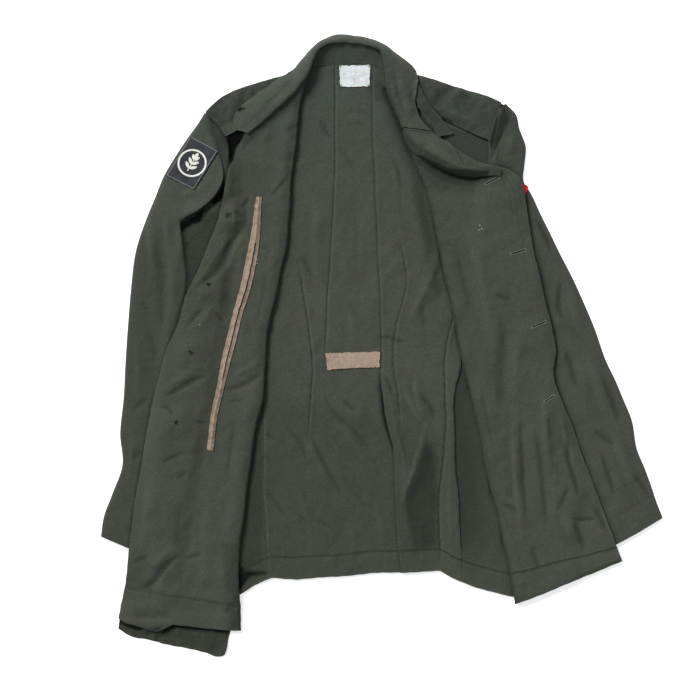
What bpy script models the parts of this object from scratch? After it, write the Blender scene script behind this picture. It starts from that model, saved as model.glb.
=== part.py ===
"""Bush shirt laid open on its back, with both fronts turned out over the sleeves.

Tables are in millimetres on the laid shirt: x to the wearer's left, y to the neck, z up.
"""

import math

import bmesh
import bpy
import numpy as np

OBJECT_NAME = "bush_shirt"
MM = 0.001

# Thickness of the cloth, and the spaces between pieces
WALL = 1.4
COLLAR_WALL = 2.6
PATCH_WALL = 1.0
SEAM_GAP = 0.3
LAY_GAP = 0.4

# How the cloth lies
FRONT_LOFT = 4.5
LOFT_REACH = 26.0
FOLD_INSET = 3.5
SLEEVE_EDGE_SPACE = 0.8
SLEEVE_INSET = 1.8
LIP_OUT = 2.2
STAND_LEAN = 1.0

# Buttons
BUTTON_RADIUS = 10.0
BUTTON_DEPTH = 3.0
BUTTON_SIDES = 20
BUTTON_BEVEL = 0.7

# The square over which layers are stacked, and how a sheet is let down on them
FIELD = 1040.0
CELL = 2.0
SAMPLES = 16
DRAPE_STEPS = 60
DRAPE_CLOSE = 0.005
SOFTENED_SHARE = 0.6
# The rows and columns of a grid that meet at each corner of a cell
CORNERS = (
    (slice(None, -1), slice(None, -1)),
    (slice(None, -1), slice(1, None)),
    (slice(1, None), slice(None, -1)),
    (slice(1, None), slice(1, None)),
)
# Angle at which a face edge counts as a crease
SHARP_ANGLE = math.radians(50.0)

CLOTH = ("olive_cloth", (0.066, 0.070, 0.055), 0.9)
LINING_TAN = ("tan_tape", (0.38, 0.27, 0.20), 0.85)
LABEL_WHITE = ("label_white", (0.76, 0.79, 0.82), 0.7)
PATCH_SLATE = ("patch_slate", (0.042, 0.045, 0.054), 0.9)
PATCH_RED = ("patch_red", (0.75, 0.017, 0.026), 0.8)
BUTTON_DARK = ("button_dark", (0.030, 0.032, 0.026), 0.45)

# Seams of the back: y, then x of each seam at that height.
# side_r and side_l are the armholes and side seams, seam_r and seam_l the side-back seams,
# centre_r and centre_l the edges of the centre panel, which below the waist are plain cloth
# and the edge of the vent.
SIDE_R = ((336, -256), (313, -244), (284, -239), (241, -246), (204, -263),
          (171, -281), (125, -295), (23, -308), (-78, -316), (-223, -320), (-357, -320))
SEAM_R = ((357, -211), (284, -205), (139, -197), (23, -185), (-122, -171),
          (-209, -172), (-322, -165), (-368, -162))
CENTRE_R = ((406, -68), (251, -68), (152, -73), (52, -80), (-10, -82),
            (-122, -76), (-326, -70))
CENTRE_L = ((406, -15), (313, -14), (196, -9), (41, -2), (-49, -1),
            (-99, 5), (-146, 17), (-260, 21), (-326, 28))
SEAM_L = ((357, 128), (284, 124), (212, 117), (125, 108), (36, 102), (7, 95),
          (-26, 90), (-107, 93), (-160, 90), (-213, 83), (-271, 83), (-354, 88))
SIDE_L = ((349, 176), (320, 167), (284, 162), (241, 169), (204, 183),
          (171, 204), (125, 215), (23, 231), (-78, 246), (-223, 267), (-328, 283))

# Edges of the back: x, then y. The top is the shoulders and the neck, the bottom the hem.
BACK_TOP = ((-256, 336), (-247, 347), (-230, 360), (-210, 370), (-181, 378), (-136, 392),
            (-99, 402), (-69, 406), (-18, 407), (3, 399), (51, 390), (86, 378),
            (109, 370), (137, 364), (160, 357), (176, 349))
BACK_HEM = ((-320, -357), (-256, -362), (-205, -360), (-184, -347), (-160, -336), (-123, -338),
            (-63, -334), (-14, -329), (28, -328), (85, -326), (101, -336), (135, -349),
            (189, -364), (215, -357), (244, -347), (283, -328))
BACK_HEM_DEPTH = 33.0
WAIST_Y = -29
BACK_ROWS_TO_WAIST = 11
BACK_ROWS_BELOW = 11
ARMHOLE_ROWS = 5
HEM_ROWS = 2
BACK_COLUMNS = (3, 4, 2, 4, 3)
BACK_START = (386, -325)
BACK_ROUNDS = 12

# Fronts: a row per section from the neck to the hem.
# side_x, side_y, fold_x, fold_y, edge_x, edge_y
RIGHT_FRONT = (
    (-226, 300, -102, 396, -205, 302),
    (-221, 281, -115, 361, -214, 281),
    (-221, 255, -121, 320, -221, 257),
    (-227, 226, -125, 277, -226, 226),
    (-246, 203, -131, 233, -233, 193),
    (-269, 180, -133, 190, -242, 165),
    (-284, 154, -137, 146, -254, 136),
    (-292, 122, -146, 103, -268, 103),
    (-300, 84, -156, 59, -284, 67),
    (-305, 45, -165, 16, -295, 28),
    (-310, 6, -168, -28, -312, -9),
    (-313, -35, -171, -71, -322, -49),
    (-316, -75, -181, -115, -333, -90),
    (-318, -116, -188, -158, -340, -130),
    (-320, -157, -194, -202, -347, -170),
    (-320, -197, -199, -245, -354, -210),
    (-320, -238, -205, -289, -360, -251),
    (-320, -278, -207, -332, -365, -294),
    (-320, -319, -205, -371, -371, -342),
    (-320, -355, -204, -413, -381, -396),
)
LEFT_FRONT = (
    (156, 294, 27, 345, 92, 294),
    (156, 284, 34, 313, 143, 264),
    (159, 262, 44, 277, 182, 254),
    (167, 233, 57, 244, 201, 238),
    (183, 200, 67, 212, 208, 207),
    (201, 171, 76, 177, 212, 174),
    (212, 139, 82, 142, 218, 139),
    (220, 103, 89, 107, 227, 102),
    (227, 67, 98, 72, 234, 67),
    (231, 30, 105, 38, 244, 32),
    (237, -6, 112, 0, 251, -3),
    (241, -46, 122, -46, 247, -41),
    (246, -86, 133, -87, 260, -80),
    (251, -125, 141, -125, 276, -119),
    (257, -165, 148, -165, 289, -157),
    (263, -206, 157, -206, 304, -197),
    (269, -245, 169, -249, 320, -239),
    (275, -281, 177, -290, 333, -273),
    (280, -310, 186, -334, 340, -293),
    (283, -329, 193, -374, 347, -312),
)
FRONT_ROWS = 27
FRONT_LOWER_COLUMNS = 4
FRONT_UPPER_COLUMNS = 9
FRONT_HEM_DEPTH = 36.0
# The rounded fold of a front: the angles of its points, and the widest it stands out
FOLD_ANGLES = (-50.0, 0.0, 50.0)
FOLD_WIDEST = 4.0

# Cloth that shows below the turned-up hem of the right front:
# top_x, top_y, bottom_x, bottom_y
RIGHT_UNDERHEM = (
    (-378, -374, -382, -410),
    (-359, -377, -365, -420),
    (-333, -380, -336, -426),
    (-304, -384, -308, -434),
    (-276, -387, -278, -439),
    (-252, -390, -256, -444),
    (-234, -392, -237, -450),
    (-223, -393, -227, -447),
    (-214, -393, -221, -420),
)

# Shoulders, from the neck to the armhole: top_x, top_y, seam_x, seam_y
RIGHT_YOKE = (
    (-114, 397, -115, 374),
    (-136, 393, -131, 364),
    (-181, 380, -159, 347),
    (-210, 371, -184, 329),
    (-230, 361, -204, 315),
    (-247, 347, -218, 306),
    (-255, 338, -226, 302),
)
LEFT_YOKE = (
    (11, 397, 25, 351),
    (41, 394, 48, 345),
    (70, 387, 77, 335),
    (96, 378, 98, 323),
    (122, 370, 119, 313),
    (148, 363, 138, 304),
    (173, 352, 155, 297),
)

# Sleeves, a row per section from the shoulder to the cuff:
# outer_x, outer_y, crease_x, crease_y, inner_x, inner_y, puff, drop
# puff is the space inside, drop the step down where the upper cloth folds along the crease.
RIGHT_SLEEVE = (
    (-256, 336, -250, 332, -244, 326, 1.5, 0.0),
    (-278, 306, -243, 310, -226, 300, 3.0, 0.5),
    (-297, 277, -233, 273, -221, 268, 3.5, 2.0),
    (-315, 246, -229, 241, -218, 229, 3.5, 5.0),
    (-327, 215, -244, 212, -220, 194, 3.5, 9.0),
    (-337, 191, -266, 194, -223, 168, 3.5, 10.0),
    (-346, 168, -288, 181, -226, 148, 3.0, 9.0),
    (-356, 135, -287, 139, -229, 122, 3.0, 6.0),
    (-363, 81, -284, 88, -234, 67, 2.5, 4.0),
    (-367, 36, -298, 41, -242, 16, 2.5, 2.0),
    (-371, -20, -314, -20, -252, -42, 2.5, 1.0),
    (-374, -75, -324, -78, -263, -100, 2.5, 0.0),
    (-379, -126, -333, -130, -275, -158, 2.5, 0.0),
    (-376, -174, -339, -186, -284, -212, 2.5, 0.0),
    (-391, -216, -350, -231, -291, -260, 2.5, 0.0),
    (-403, -249, -359, -268, -297, -296, 2.5, 0.0),
    (-407, -276, -363, -294, -301, -325, 2.5, 0.0),
)
LEFT_SLEEVE = (
    (179, 350, 175, 347, 170, 342, 1.5, 0.0),
    (194, 336, 180, 328, 162, 319, 3.0, 0.0),
    (199, 315, 177, 307, 156, 297, 3.5, 1.0),
    (208, 289, 172, 281, 156, 273, 3.5, 3.0),
    (206, 262, 167, 255, 153, 241, 3.5, 4.0),
    (205, 239, 172, 226, 148, 209, 3.5, 2.0),
    (217, 219, 180, 200, 146, 177, 3.0, 0.0),
    (230, 191, 189, 168, 143, 144, 3.0, 0.0),
    (243, 165, 201, 138, 144, 110, 3.0, 0.0),
    (257, 136, 214, 107, 150, 78, 3.0, 0.0),
    (276, 99, 231, 70, 160, 38, 2.5, 0.0),
    (292, 64, 246, 33, 172, -1, 2.5, 0.0),
    (308, 26, 260, -6, 183, -41, 2.5, 0.0),
    (325, -22, 276, -52, 198, -88, 2.5, 0.0),
    (338, -49, 289, -83, 211, -117, 2.5, 0.0),
    (351, -80, 302, -113, 224, -146, 2.5, 0.0),
    (362, -107, 314, -142, 237, -177, 2.5, 0.0),
    (370, -151, 325, -183, 253, -215, 2.5, 0.0),
    (380, -175, 336, -209, 266, -244, 2.5, 0.0),
    (389, -199, 346, -232, 279, -267, 2.5, 0.0),
    (398, -226, 356, -255, 292, -289, 2.5, 0.0),
    (407, -249, 366, -273, 304, -306, 2.5, 0.0),
)
SLEEVE_ROWS = 20
SLEEVE_OUTER_COLUMNS = 3
SLEEVE_INNER_COLUMNS = 2
# Where the step beside the crease ends, as a share of the first column past it
SLEEVE_STEP = 0.28
# How square the puff and the folds are across the sleeve, and the share of the drop at its outer edge
PUFF_POWER = 0.6
FOLD_POWER = 0.5
DROP_OUTSIDE = 0.25

# Stand of the collar at the back of the neck: seam_x, seam_y, roll_x, roll_y, roll_z
COLLAR_STAND = (
    (-99, 404, -102, 412, 9.0),
    (-92, 405, -95, 420, 11.0),
    (-81, 407, -82, 432, 12.5),
    (-63, 408, -65, 437, 13.0),
    (-40, 410, -41, 435, 13.0),
    (-18, 410, -17, 430, 12.5),
    (-4, 405, -2, 425, 12.0),
    (5, 399, 4, 415, 9.0),
)
STAND_ROWS = 9
STAND_COLUMNS = 5
# Share of the stand's rise that is even. The rest is steeper toward the roll.
STAND_EVEN = 0.65
# Collar, from the end of the right leaf round the back of the neck to the left leaf:
# inner_x, inner_y, outer_x, outer_y, inner_z, crest, outer_z, lip
COLLAR = (
    (-194, 307, -210, 312, 12.0, 1.0, 10.0, 3.0),
    (-189, 311, -214, 325, 13.0, 1.0, 10.0, 4.0),
    (-179, 320, -207, 341, 14.5, 1.5, 9.0, 5.0),
    (-159, 337, -188, 357, 16.0, 2.0, 8.0, 6.0),
    (-137, 357, -165, 373, 17.5, 2.0, 7.0, 6.0),
    (-120, 376, -142, 390, 18.5, 2.5, 6.0, 6.0),
    (-108, 393, -127, 399, 19.0, 3.0, 4.0, 5.0),
    (-102, 407, -114, 413, 18.0, 3.5, 2.0, 3.0),
    (-95, 423, -102, 427, 17.0, 4.0, 1.0, 1.0),
    (-84, 434, -89, 439, 16.0, 4.0, 1.0, 0.5),
    (-65, 439, -66, 449, 15.5, 4.0, 1.0, 0.5),
    (-41, 437, -40, 447, 15.5, 4.0, 1.0, 0.5),
    (-17, 433, -15, 442, 16.0, 4.0, 1.0, 0.5),
    (-1, 426, 6, 433, 17.5, 4.0, 1.0, 1.0),
    (3, 415, 21, 421, 19.0, 4.0, 2.0, 4.0),
    (6, 397, 40, 407, 19.5, 4.0, 3.0, 7.0),
    (9, 377, 51, 390, 19.0, 4.0, 6.0, 8.0),
    (14, 358, 50, 368, 18.0, 4.0, 9.0, 8.0),
    (22, 339, 49, 349, 16.5, 3.5, 10.5, 8.0),
    (28, 326, 53, 331, 15.0, 2.5, 11.0, 7.0),
    (32, 315, 70, 310, 14.5, 2.0, 11.0, 6.0),
)
COLLAR_ROWS = 34
COLLAR_COLUMNS = 5
# Share of LIP_OUT that the lip stands out, and the least that it turns down
LIP_SHARE = 0.6
LIP_LEAST = 0.4
# Lapel of the left front, from the collar seam to the top of the front edge
LEFT_LAPEL = (
    (32, 313, 71, 309, 14.5, 2.0, 11.0, 6.0),
    (37, 297, 90, 297, 15.0, 3.5, 10.5, 8.0),
    (47, 280, 101, 289, 16.0, 4.5, 10.0, 9.0),
    (64, 270, 108, 277, 16.5, 4.0, 10.5, 9.0),
    (82, 259, 113, 267, 16.5, 3.0, 11.5, 8.0),
    (102, 251, 118, 259, 16.0, 1.5, 12.0, 7.0),
    (122, 246, 128, 257, 15.5, 1.0, 12.5, 6.0),
    (146, 245, 148, 258, 14.0, 0.5, 12.0, 4.0),
    (170, 246, 171, 254, 11.0, 0.3, 10.5, 2.0),
)
LAPEL_ROWS = 14
# Point of the collar that lies on the left shoulder: inner_x, inner_y, outer_x, outer_y
COLLAR_POINT = (
    (47, 380, 54, 377),
    (48, 362, 63, 358),
    (54, 345, 75, 342),
    (64, 326, 89, 325),
    (75, 312, 98, 313),
    (80, 302, 104, 307),
)

# Pieces that lie on others: four corners, in order round the piece
WAIST_PATCH = (-81, -11, -3, -8, -3, -30, -79, -35)
NECK_LABEL = (-61, 406, -17, 406, -17, 376, -60, 375)
SLEEVE_PATCH = (-276, 303, -237, 281, -271, 225, -311, 246)
RED_PATCH = (186, 243, 212, 231, 203, 206, 176, 215)
# Doubled tape inside the right front: left_x, left_y, right_x, right_y
FRONT_TAPE = (
    (-181, 215, -173, 214),
    (-188, 168, -176, 167),
    (-195, 128, -180, 126),
    (-205, 83, -191, 78),
    (-214, 49, -201, 45),
    (-224, 12, -211, 7),
    (-232, -26, -220, -30),
    (-239, -61, -229, -64),
    (-247, -103, -238, -106),
    (-253, -150, -244, -152),
)
BUTTONS = ((-221, 187), (-249, 87), (-275, -10), (-297, -110))

# Soft folds: x0, y0, x1, y1, bow, half_width, rise
BACK_FOLDS = (
    (-79, -78, 3, -177, 6.0, 9.0, 5.0),
    (-142, -119, -107, -171, -6.0, 8.0, 3.5),
    (-101, -128, -53, -242, 5.0, 9.0, 4.5),
    (72, -115, 40, -212, 4.0, 13.0, 9.0),
    (-1, -38, 28, -326, 8.0, 8.0, 4.5),
    (109, -46, 114, -345, 10.0, 10.0, 8.0),
    (-173, -203, -136, -252, 3.0, 8.0, 3.5),
    (-110, -246, -66, -270, 0.0, 8.0, 3.0),
    (-62, 296, -36, 236, 0.0, 8.0, 2.5),
    (3, 299, 30, 232, 2.0, 9.0, 3.0),
    (82, 102, 61, 58, 0.0, 9.0, 3.0),
    (-111, 125, -102, -122, 4.0, 10.0, 2.5),
    (34, 122, 21, -113, -8.0, 10.0, 2.5),
)
RIGHT_FRONT_FOLDS = (
    (-201, 186, -243, 102, 3.0, 12.0, 3.5),
    (-134, 252, -165, 216, 0.0, 9.0, 3.0),
    (-321, -78, -243, -41, 3.0, 11.0, 3.5),
    (-356, -360, -289, -297, 3.0, 14.0, 6.0),
    (-231, -67, -165, -35, -3.0, 11.0, 3.5),
    (-336, -423, -321, -310, 0.0, 13.0, 4.5),
    (-231, -426, -243, -310, 4.0, 14.0, 4.5),
    (-200, -136, -211, -310, 3.0, 16.0, 4.0),
)
LEFT_FRONT_FOLDS = (
    (202, -49, 211, -332, 4.0, 15.0, 6.5),
    (260, -96, 285, -238, -3.0, 13.0, 7.5),
    (263, -216, 293, -304, 3.0, 12.0, 6.0),
    (156, -122, 182, -289, 3.0, 14.0, 4.0),
    (238, 81, 259, -78, -2.0, 12.0, 4.0),
    (128, 212, 189, 23, 5.0, 22.0, 3.0),
    (172, -223, 241, -347, 4.0, 14.0, 4.0),
)
RIGHT_SLEEVE_FOLDS = (
    (-256, 328, -231, 262, -3.0, 9.0, 4.0),
    (-304, 226, -336, 67, 5.0, 16.0, 5.0),
    (-321, 139, -342, -49, -4.0, 15.0, 4.0),
    (-350, -64, -347, -180, 4.0, 12.0, 4.5),
    (-368, -180, -379, -267, 0.0, 13.0, 3.5),
)
LEFT_SLEEVE_FOLDS = (
    (188, 339, 169, 267, 4.0, 11.0, 2.5),
    (220, 197, 273, 23, 5.0, 15.0, 5.0),
    (259, 67, 317, -151, -5.0, 16.0, 5.0),
    (317, -64, 349, -223, 5.0, 14.0, 4.5),
    (273, 81, 311, 1, 0.0, 12.0, 4.0),
)
LEFT_YOKE_FOLDS = ((85, 325, 154, 293, 0.0, 8.0, 5.0),)
RIGHT_YOKE_FOLDS = ((-197, 357, -226, 304, 2.0, 9.0, 4.0),)


def table(rows):
    """Rows of numbers as an array."""
    return np.array(rows, dtype=float)


def along(rows, count, tail=0.0):
    """The rows of a table as a smooth course, at count places that are evenly far apart.

    With a tail, the last two steps are half of it each.
    """
    rows = table(rows)
    steps = np.hypot(*((np.diff(rows[:, 0:2], axis=0) + np.diff(rows[:, 2:4], axis=0)) / 2).T)
    place = np.concatenate([[0.0], np.cumsum(steps)])
    wanted = np.linspace(0.0, place[-1], count)
    if tail:
        last = place[-1] - np.array([tail / 2, 0.0])
        wanted = np.append(np.linspace(0.0, place[-1] - tail, count - 2), last)
    slope = np.gradient(rows, place, axis=0)
    below = np.clip(np.searchsorted(place, wanted, side="right") - 1, 0, len(place) - 2)
    span = (place[below + 1] - place[below])[:, None]
    t = ((wanted - place[below])[:, None]) / span
    start = (2 * t**3 - 3 * t**2 + 1) * rows[below] + (t**3 - 2 * t**2 + t) * span * slope[below]
    end = (3 * t**2 - 2 * t**3) * rows[below + 1] + (t**3 - t**2) * span * slope[below + 1]
    return start + end


def course(pairs, at):
    """The second number of a table of pairs, at the first number."""
    pairs = table(pairs)
    order = np.argsort(pairs[:, 0])
    return np.interp(at, pairs[order, 0], pairs[order, 1])


def ruled(first, second, columns):
    """Points on straight lines from first to second, a row per line."""
    t = np.linspace(0.0, 1.0, columns)[None, :, None]
    return first[:, None, :] * (1.0 - t) + second[:, None, :] * t


def folds(x, y, rows):
    """Rise of the soft folds at x, y."""
    rise = np.zeros_like(x)
    for x0, y0, x1, y1, bow, half_width, height in rows:
        length = math.hypot(x1 - x0, y1 - y0)
        ux, uy = (x1 - x0) / length, (y1 - y0) / length
        forward = ((x - x0) * ux + (y - y0) * uy) / length
        inside = np.clip(forward, 0.0, 1.0)
        hump = 4.0 * inside * (1.0 - inside)
        beside = (y - y0) * ux - (x - x0) * uy - bow * hump
        rise += height * np.sqrt(hump) * np.exp(-((beside / half_width) ** 2))
    return rise


def fine(grid, samples=SAMPLES):
    """The triangulated grid, sampled samples times along each cell."""
    t = np.linspace(0.0, 1.0, samples + 1)
    s, r = t[None, None, None, :], t[None, None, :, None]
    a, b = grid[:-1, :-1, None, None], grid[:-1, 1:, None, None]
    c, d = grid[1:, 1:, None, None], grid[1:, :-1, None, None]
    return np.where(s >= r, a + s * (b - a) + r * (c - b), a + r * (d - a) + s * (c - d))


class Pile:
    """Height of the cloth that is laid so far, cell by cell."""

    def __init__(self):
        side = int(FIELD / CELL)
        self.top = np.zeros((side, side))

    def cells(self, x, y):
        last = self.top.shape[0] - 1
        column = np.clip((x + FIELD / 2) / CELL, 0, last).astype(int)
        row = np.clip((y + FIELD / 2) / CELL, 0, last).astype(int)
        return row, column

    def add(self, x, y, top):
        np.maximum.at(self.top, self.cells(fine(x), fine(y)), fine(top))

    def near(self, reach):
        """The highest cloth within twice reach cells of each cell."""
        high = self.top
        for _ in range(2 * reach):
            beside = [np.roll(high, step, axis) for axis in (0, 1) for step in (-1, 1)]
            high = np.maximum.reduce([high] + beside)
        return high


def drape(x, y, pile, gap=LAY_GAP, reach=1, softness=2):
    """Height of the underside of a sheet that rests on the pile at x, y."""
    below = pile.near(reach)[pile.cells(fine(x), fine(y))]
    need = np.where(below > 0.0, below + gap, 0.0)
    z = np.zeros_like(x)
    for _ in range(DRAPE_STEPS):
        short = np.max(need - fine(z), axis=(2, 3))
        if short.max() < DRAPE_CLOSE:
            break
        lift = np.zeros_like(z)
        for corner in CORNERS:
            lift[corner] = np.maximum(lift[corner], short)
        z += np.maximum(lift, 0.0)
    for _ in range(softness):
        wide = np.pad(z, 1, mode="edge")
        mean = (wide[:-2, 1:-1] + wide[2:, 1:-1] + wide[1:-1, :-2] + wide[1:-1, 2:]) / 4
        z = np.maximum(z, z + SOFTENED_SHARE * (mean - z))
    return z


def stacked(x, y, z):
    """A grid of points from their coordinates."""
    return np.stack([x, y, z], axis=-1)


def raised(points, by):
    """Points moved up."""
    return points + np.array([0.0, 0.0, by])


def facing(points):
    """Unit normals of a grid of points, on its upper side."""
    normal = np.cross(np.gradient(points, axis=1), np.gradient(points, axis=0))
    normal /= np.maximum(np.linalg.norm(normal, axis=2, keepdims=True), 1e-9)
    return normal * math.copysign(1.0, normal[..., 2].sum())


pieces = []


def piece(name, inner, outer, look, loop=False, keep=None):
    """Keeps a piece of cloth, which fills the space between two grids of points, to be built at the end."""
    pieces.append((name, inner, outer, look, loop, keep))


def sheet(name, x, y, z, look, pile, wall=WALL, keep=None, laid=True):
    """A piece of even thickness, from the height of its underside."""
    low = stacked(x, y, z)
    piece(name, low, raised(low, wall), look, keep=keep)
    if laid:
        pile.add(x, y, z + wall)


def lay_back(pile):
    """Five panels that share one grid, so that their seams match, and the turned-up hem on them.

    It gives the upper edge of the back.
    """
    borders = [SIDE_R, SEAM_R, CENTRE_R, CENTRE_L, SEAM_L, SIDE_L]
    u = [i + np.arange(n) / n for i, n in enumerate(BACK_COLUMNS)]
    u = np.concatenate(u + [[len(BACK_COLUMNS)]])
    panel = np.minimum(u.astype(int), len(BACK_COLUMNS) - 1)
    part = u - panel
    rows = BACK_ROWS_TO_WAIST + BACK_ROWS_BELOW + HEM_ROWS
    x = np.zeros((rows + 1, len(u)))
    y = np.linspace(*BACK_START, rows + 1)[:, None] * np.ones(len(u))
    for _ in range(BACK_ROUNDS):
        left = np.array([course(borders[p], y[:, i]) for i, p in enumerate(panel)]).T
        right = np.array([course(borders[p + 1], y[:, i]) for i, p in enumerate(panel)]).T
        x = left * (1 - part) + right * part
        top = course(BACK_TOP, x)
        hem = course(BACK_HEM, x)
        turned = hem + BACK_HEM_DEPTH
        v = np.linspace(0, 1, BACK_ROWS_TO_WAIST + 1)[:, None]
        y[: BACK_ROWS_TO_WAIST + 1] = top[: BACK_ROWS_TO_WAIST + 1] * (1 - v) + WAIST_Y * v
        v = np.linspace(0, 1, BACK_ROWS_BELOW + 1)[:, None]
        middle = slice(BACK_ROWS_TO_WAIST, BACK_ROWS_TO_WAIST + BACK_ROWS_BELOW + 1)
        y[middle] = WAIST_Y * (1 - v) + turned[middle] * v
        y[-2] = (turned[-2] + hem[-2]) / 2
        y[-1] = hem[-1]
    z = folds(x, y, BACK_FOLDS)
    row = np.arange(rows)[:, None]
    which = np.broadcast_to(panel[:-1][None, :], (rows, len(u) - 1)).copy()
    which[:ARMHOLE_ROWS, panel[:-1] == 0] = 1
    which[:ARMHOLE_ROWS, panel[:-1] == 4] = 3
    which[(row >= BACK_ROWS_TO_WAIST) & (which == 2)] = 1
    names = ("back_side_right", "back_right", "back_centre", "back_left", "back_side_left")
    for index, name in enumerate(names):
        keep = which == index
        wide = np.pad(keep, 1, mode="constant")
        # A corner on a seam moves away from the cells of the neighbour.
        right_side = (wide[:-1, 1:] | wide[1:, 1:]).astype(float)
        left_side = (wide[:-1, :-1] | wide[1:, :-1]).astype(float)
        upper = (wide[:-1, :-1] | wide[:-1, 1:]).astype(float)
        lower = (wide[1:, :-1] | wide[1:, 1:]).astype(float)
        shift_x = (right_side - left_side) * SEAM_GAP / 2
        shift_y = (upper - lower) * SEAM_GAP / 2
        sheet(name, x + shift_x, y + shift_y, z, CLOTH, pile, keep=keep, laid=False)
    turned_up = slice(-HEM_ROWS - 1, None)
    hem_z = z[turned_up] + WALL + SEAM_GAP
    pile.add(x, y, z + WALL)
    sheet("back_hem", x[turned_up], y[turned_up], hem_z, CLOTH, pile)
    return x[0], y[0]


def quad(name, corners, look, pile, wall, cells=(4, 3), gap=SEAM_GAP):
    """A four-cornered piece that lies on the cloth below it."""
    corners = table(corners).reshape(4, 2)
    t = np.linspace(0, 1, cells[0] + 1)[None, :, None]
    s = np.linspace(0, 1, cells[1] + 1)[:, None, None]
    top = corners[0] * (1 - t) + corners[1] * t
    bottom = corners[3] * (1 - t) + corners[2] * t
    grid = top * (1 - s) + bottom * s
    x, y = grid[..., 0], grid[..., 1]
    sheet(name, x, y, drape(x, y, pile, gap, reach=0, softness=0), look, pile, wall)


def strip(name, rows, count, columns, look, pile, wall, gap=LAY_GAP, more=(), reach=1):
    """A sheet between the two edges of a table."""
    sections = along(rows, count)
    grid = ruled(sections[:, 0:2], sections[:, 2:4], columns)
    x, y = grid[..., 0], grid[..., 1]
    sheet(name, x, y, drape(x, y, pile, gap, reach) + folds(x, y, more), look, pile, wall)


def front_sections(rows):
    """The sections of a front, with the fold line moved in by what the rounded fold stands out."""
    sections = along(rows, FRONT_ROWS, FRONT_HEM_DEPTH)
    out = sections[:, 2:4] - sections[:, 0:2]
    out /= np.linalg.norm(out, axis=1, keepdims=True)
    sections[:, 2:4] -= out * FOLD_INSET
    return sections


def front_lower(rows, pile):
    """The part of a front that lies on the back, from the side seam to the fold."""
    sections = front_sections(rows)
    grid = ruled(sections[:, 0:2], sections[:, 2:4], FRONT_LOWER_COLUMNS + 1)
    x, y = grid[..., 0], grid[..., 1]
    z = drape(x, y, pile)
    pile.add(x, y, z + WALL)
    return stacked(x, y, z)


def front(name, rows, lower, more, pile):
    """A whole front: the lower part, the fold and the part that is turned out over the sleeve."""
    sections = front_sections(rows)
    grid = ruled(sections[:, 2:4], sections[:, 4:6], FRONT_UPPER_COLUMNS + 1)
    x, y = grid[..., 0], grid[..., 1]
    z = drape(x, y, pile)
    away = np.hypot(x - x[:, :1], y - y[:, :1])
    loft = lower[:, -1:, 2] + WALL + FRONT_LOFT
    z = np.maximum(z, z + (loft - z[:, :1]) * np.exp(-((away / LOFT_REACH) ** 2)))
    z += folds(x, y, more)
    upper = stacked(x, y, z)
    pile.add(x, y, z + WALL)
    # The fold is rounded, from the top of the lower cloth to the underside of the upper cloth.
    start, end = lower[:, -1], upper[:, 0]
    out = lower[:, -1, :2] - lower[:, -2, :2]
    out /= np.linalg.norm(out, axis=1, keepdims=True)
    radius = (end[:, 2] - start[:, 2] - WALL) / 2
    middle = (end[:, 2] + start[:, 2] + WALL) / 2
    inner, outer = [], []
    for angle in FOLD_ANGLES:
        turn = math.radians(angle)
        for kept, extra in ((inner, 0.0), (outer, WALL)):
            flat = start[:, :2] + out * ((np.minimum(radius, FOLD_WIDEST) + extra) * math.cos(turn))[:, None]
            kept.append(np.column_stack([flat, middle + (radius + extra) * math.sin(turn)]))
    turn_inner = np.stack(inner, axis=1)
    turn_outer = np.stack(outer, axis=1)
    inside = np.concatenate([raised(lower, WALL), turn_inner, upper], axis=1)
    outside = np.concatenate([lower, turn_outer, raised(upper, WALL)], axis=1)
    piece(name, inside, outside, CLOTH)
    hem = raised(upper[-HEM_ROWS - 1 :], WALL + SEAM_GAP)
    sheet(name + "_hem", hem[..., 0], hem[..., 1], hem[..., 2], CLOTH, pile)


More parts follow.
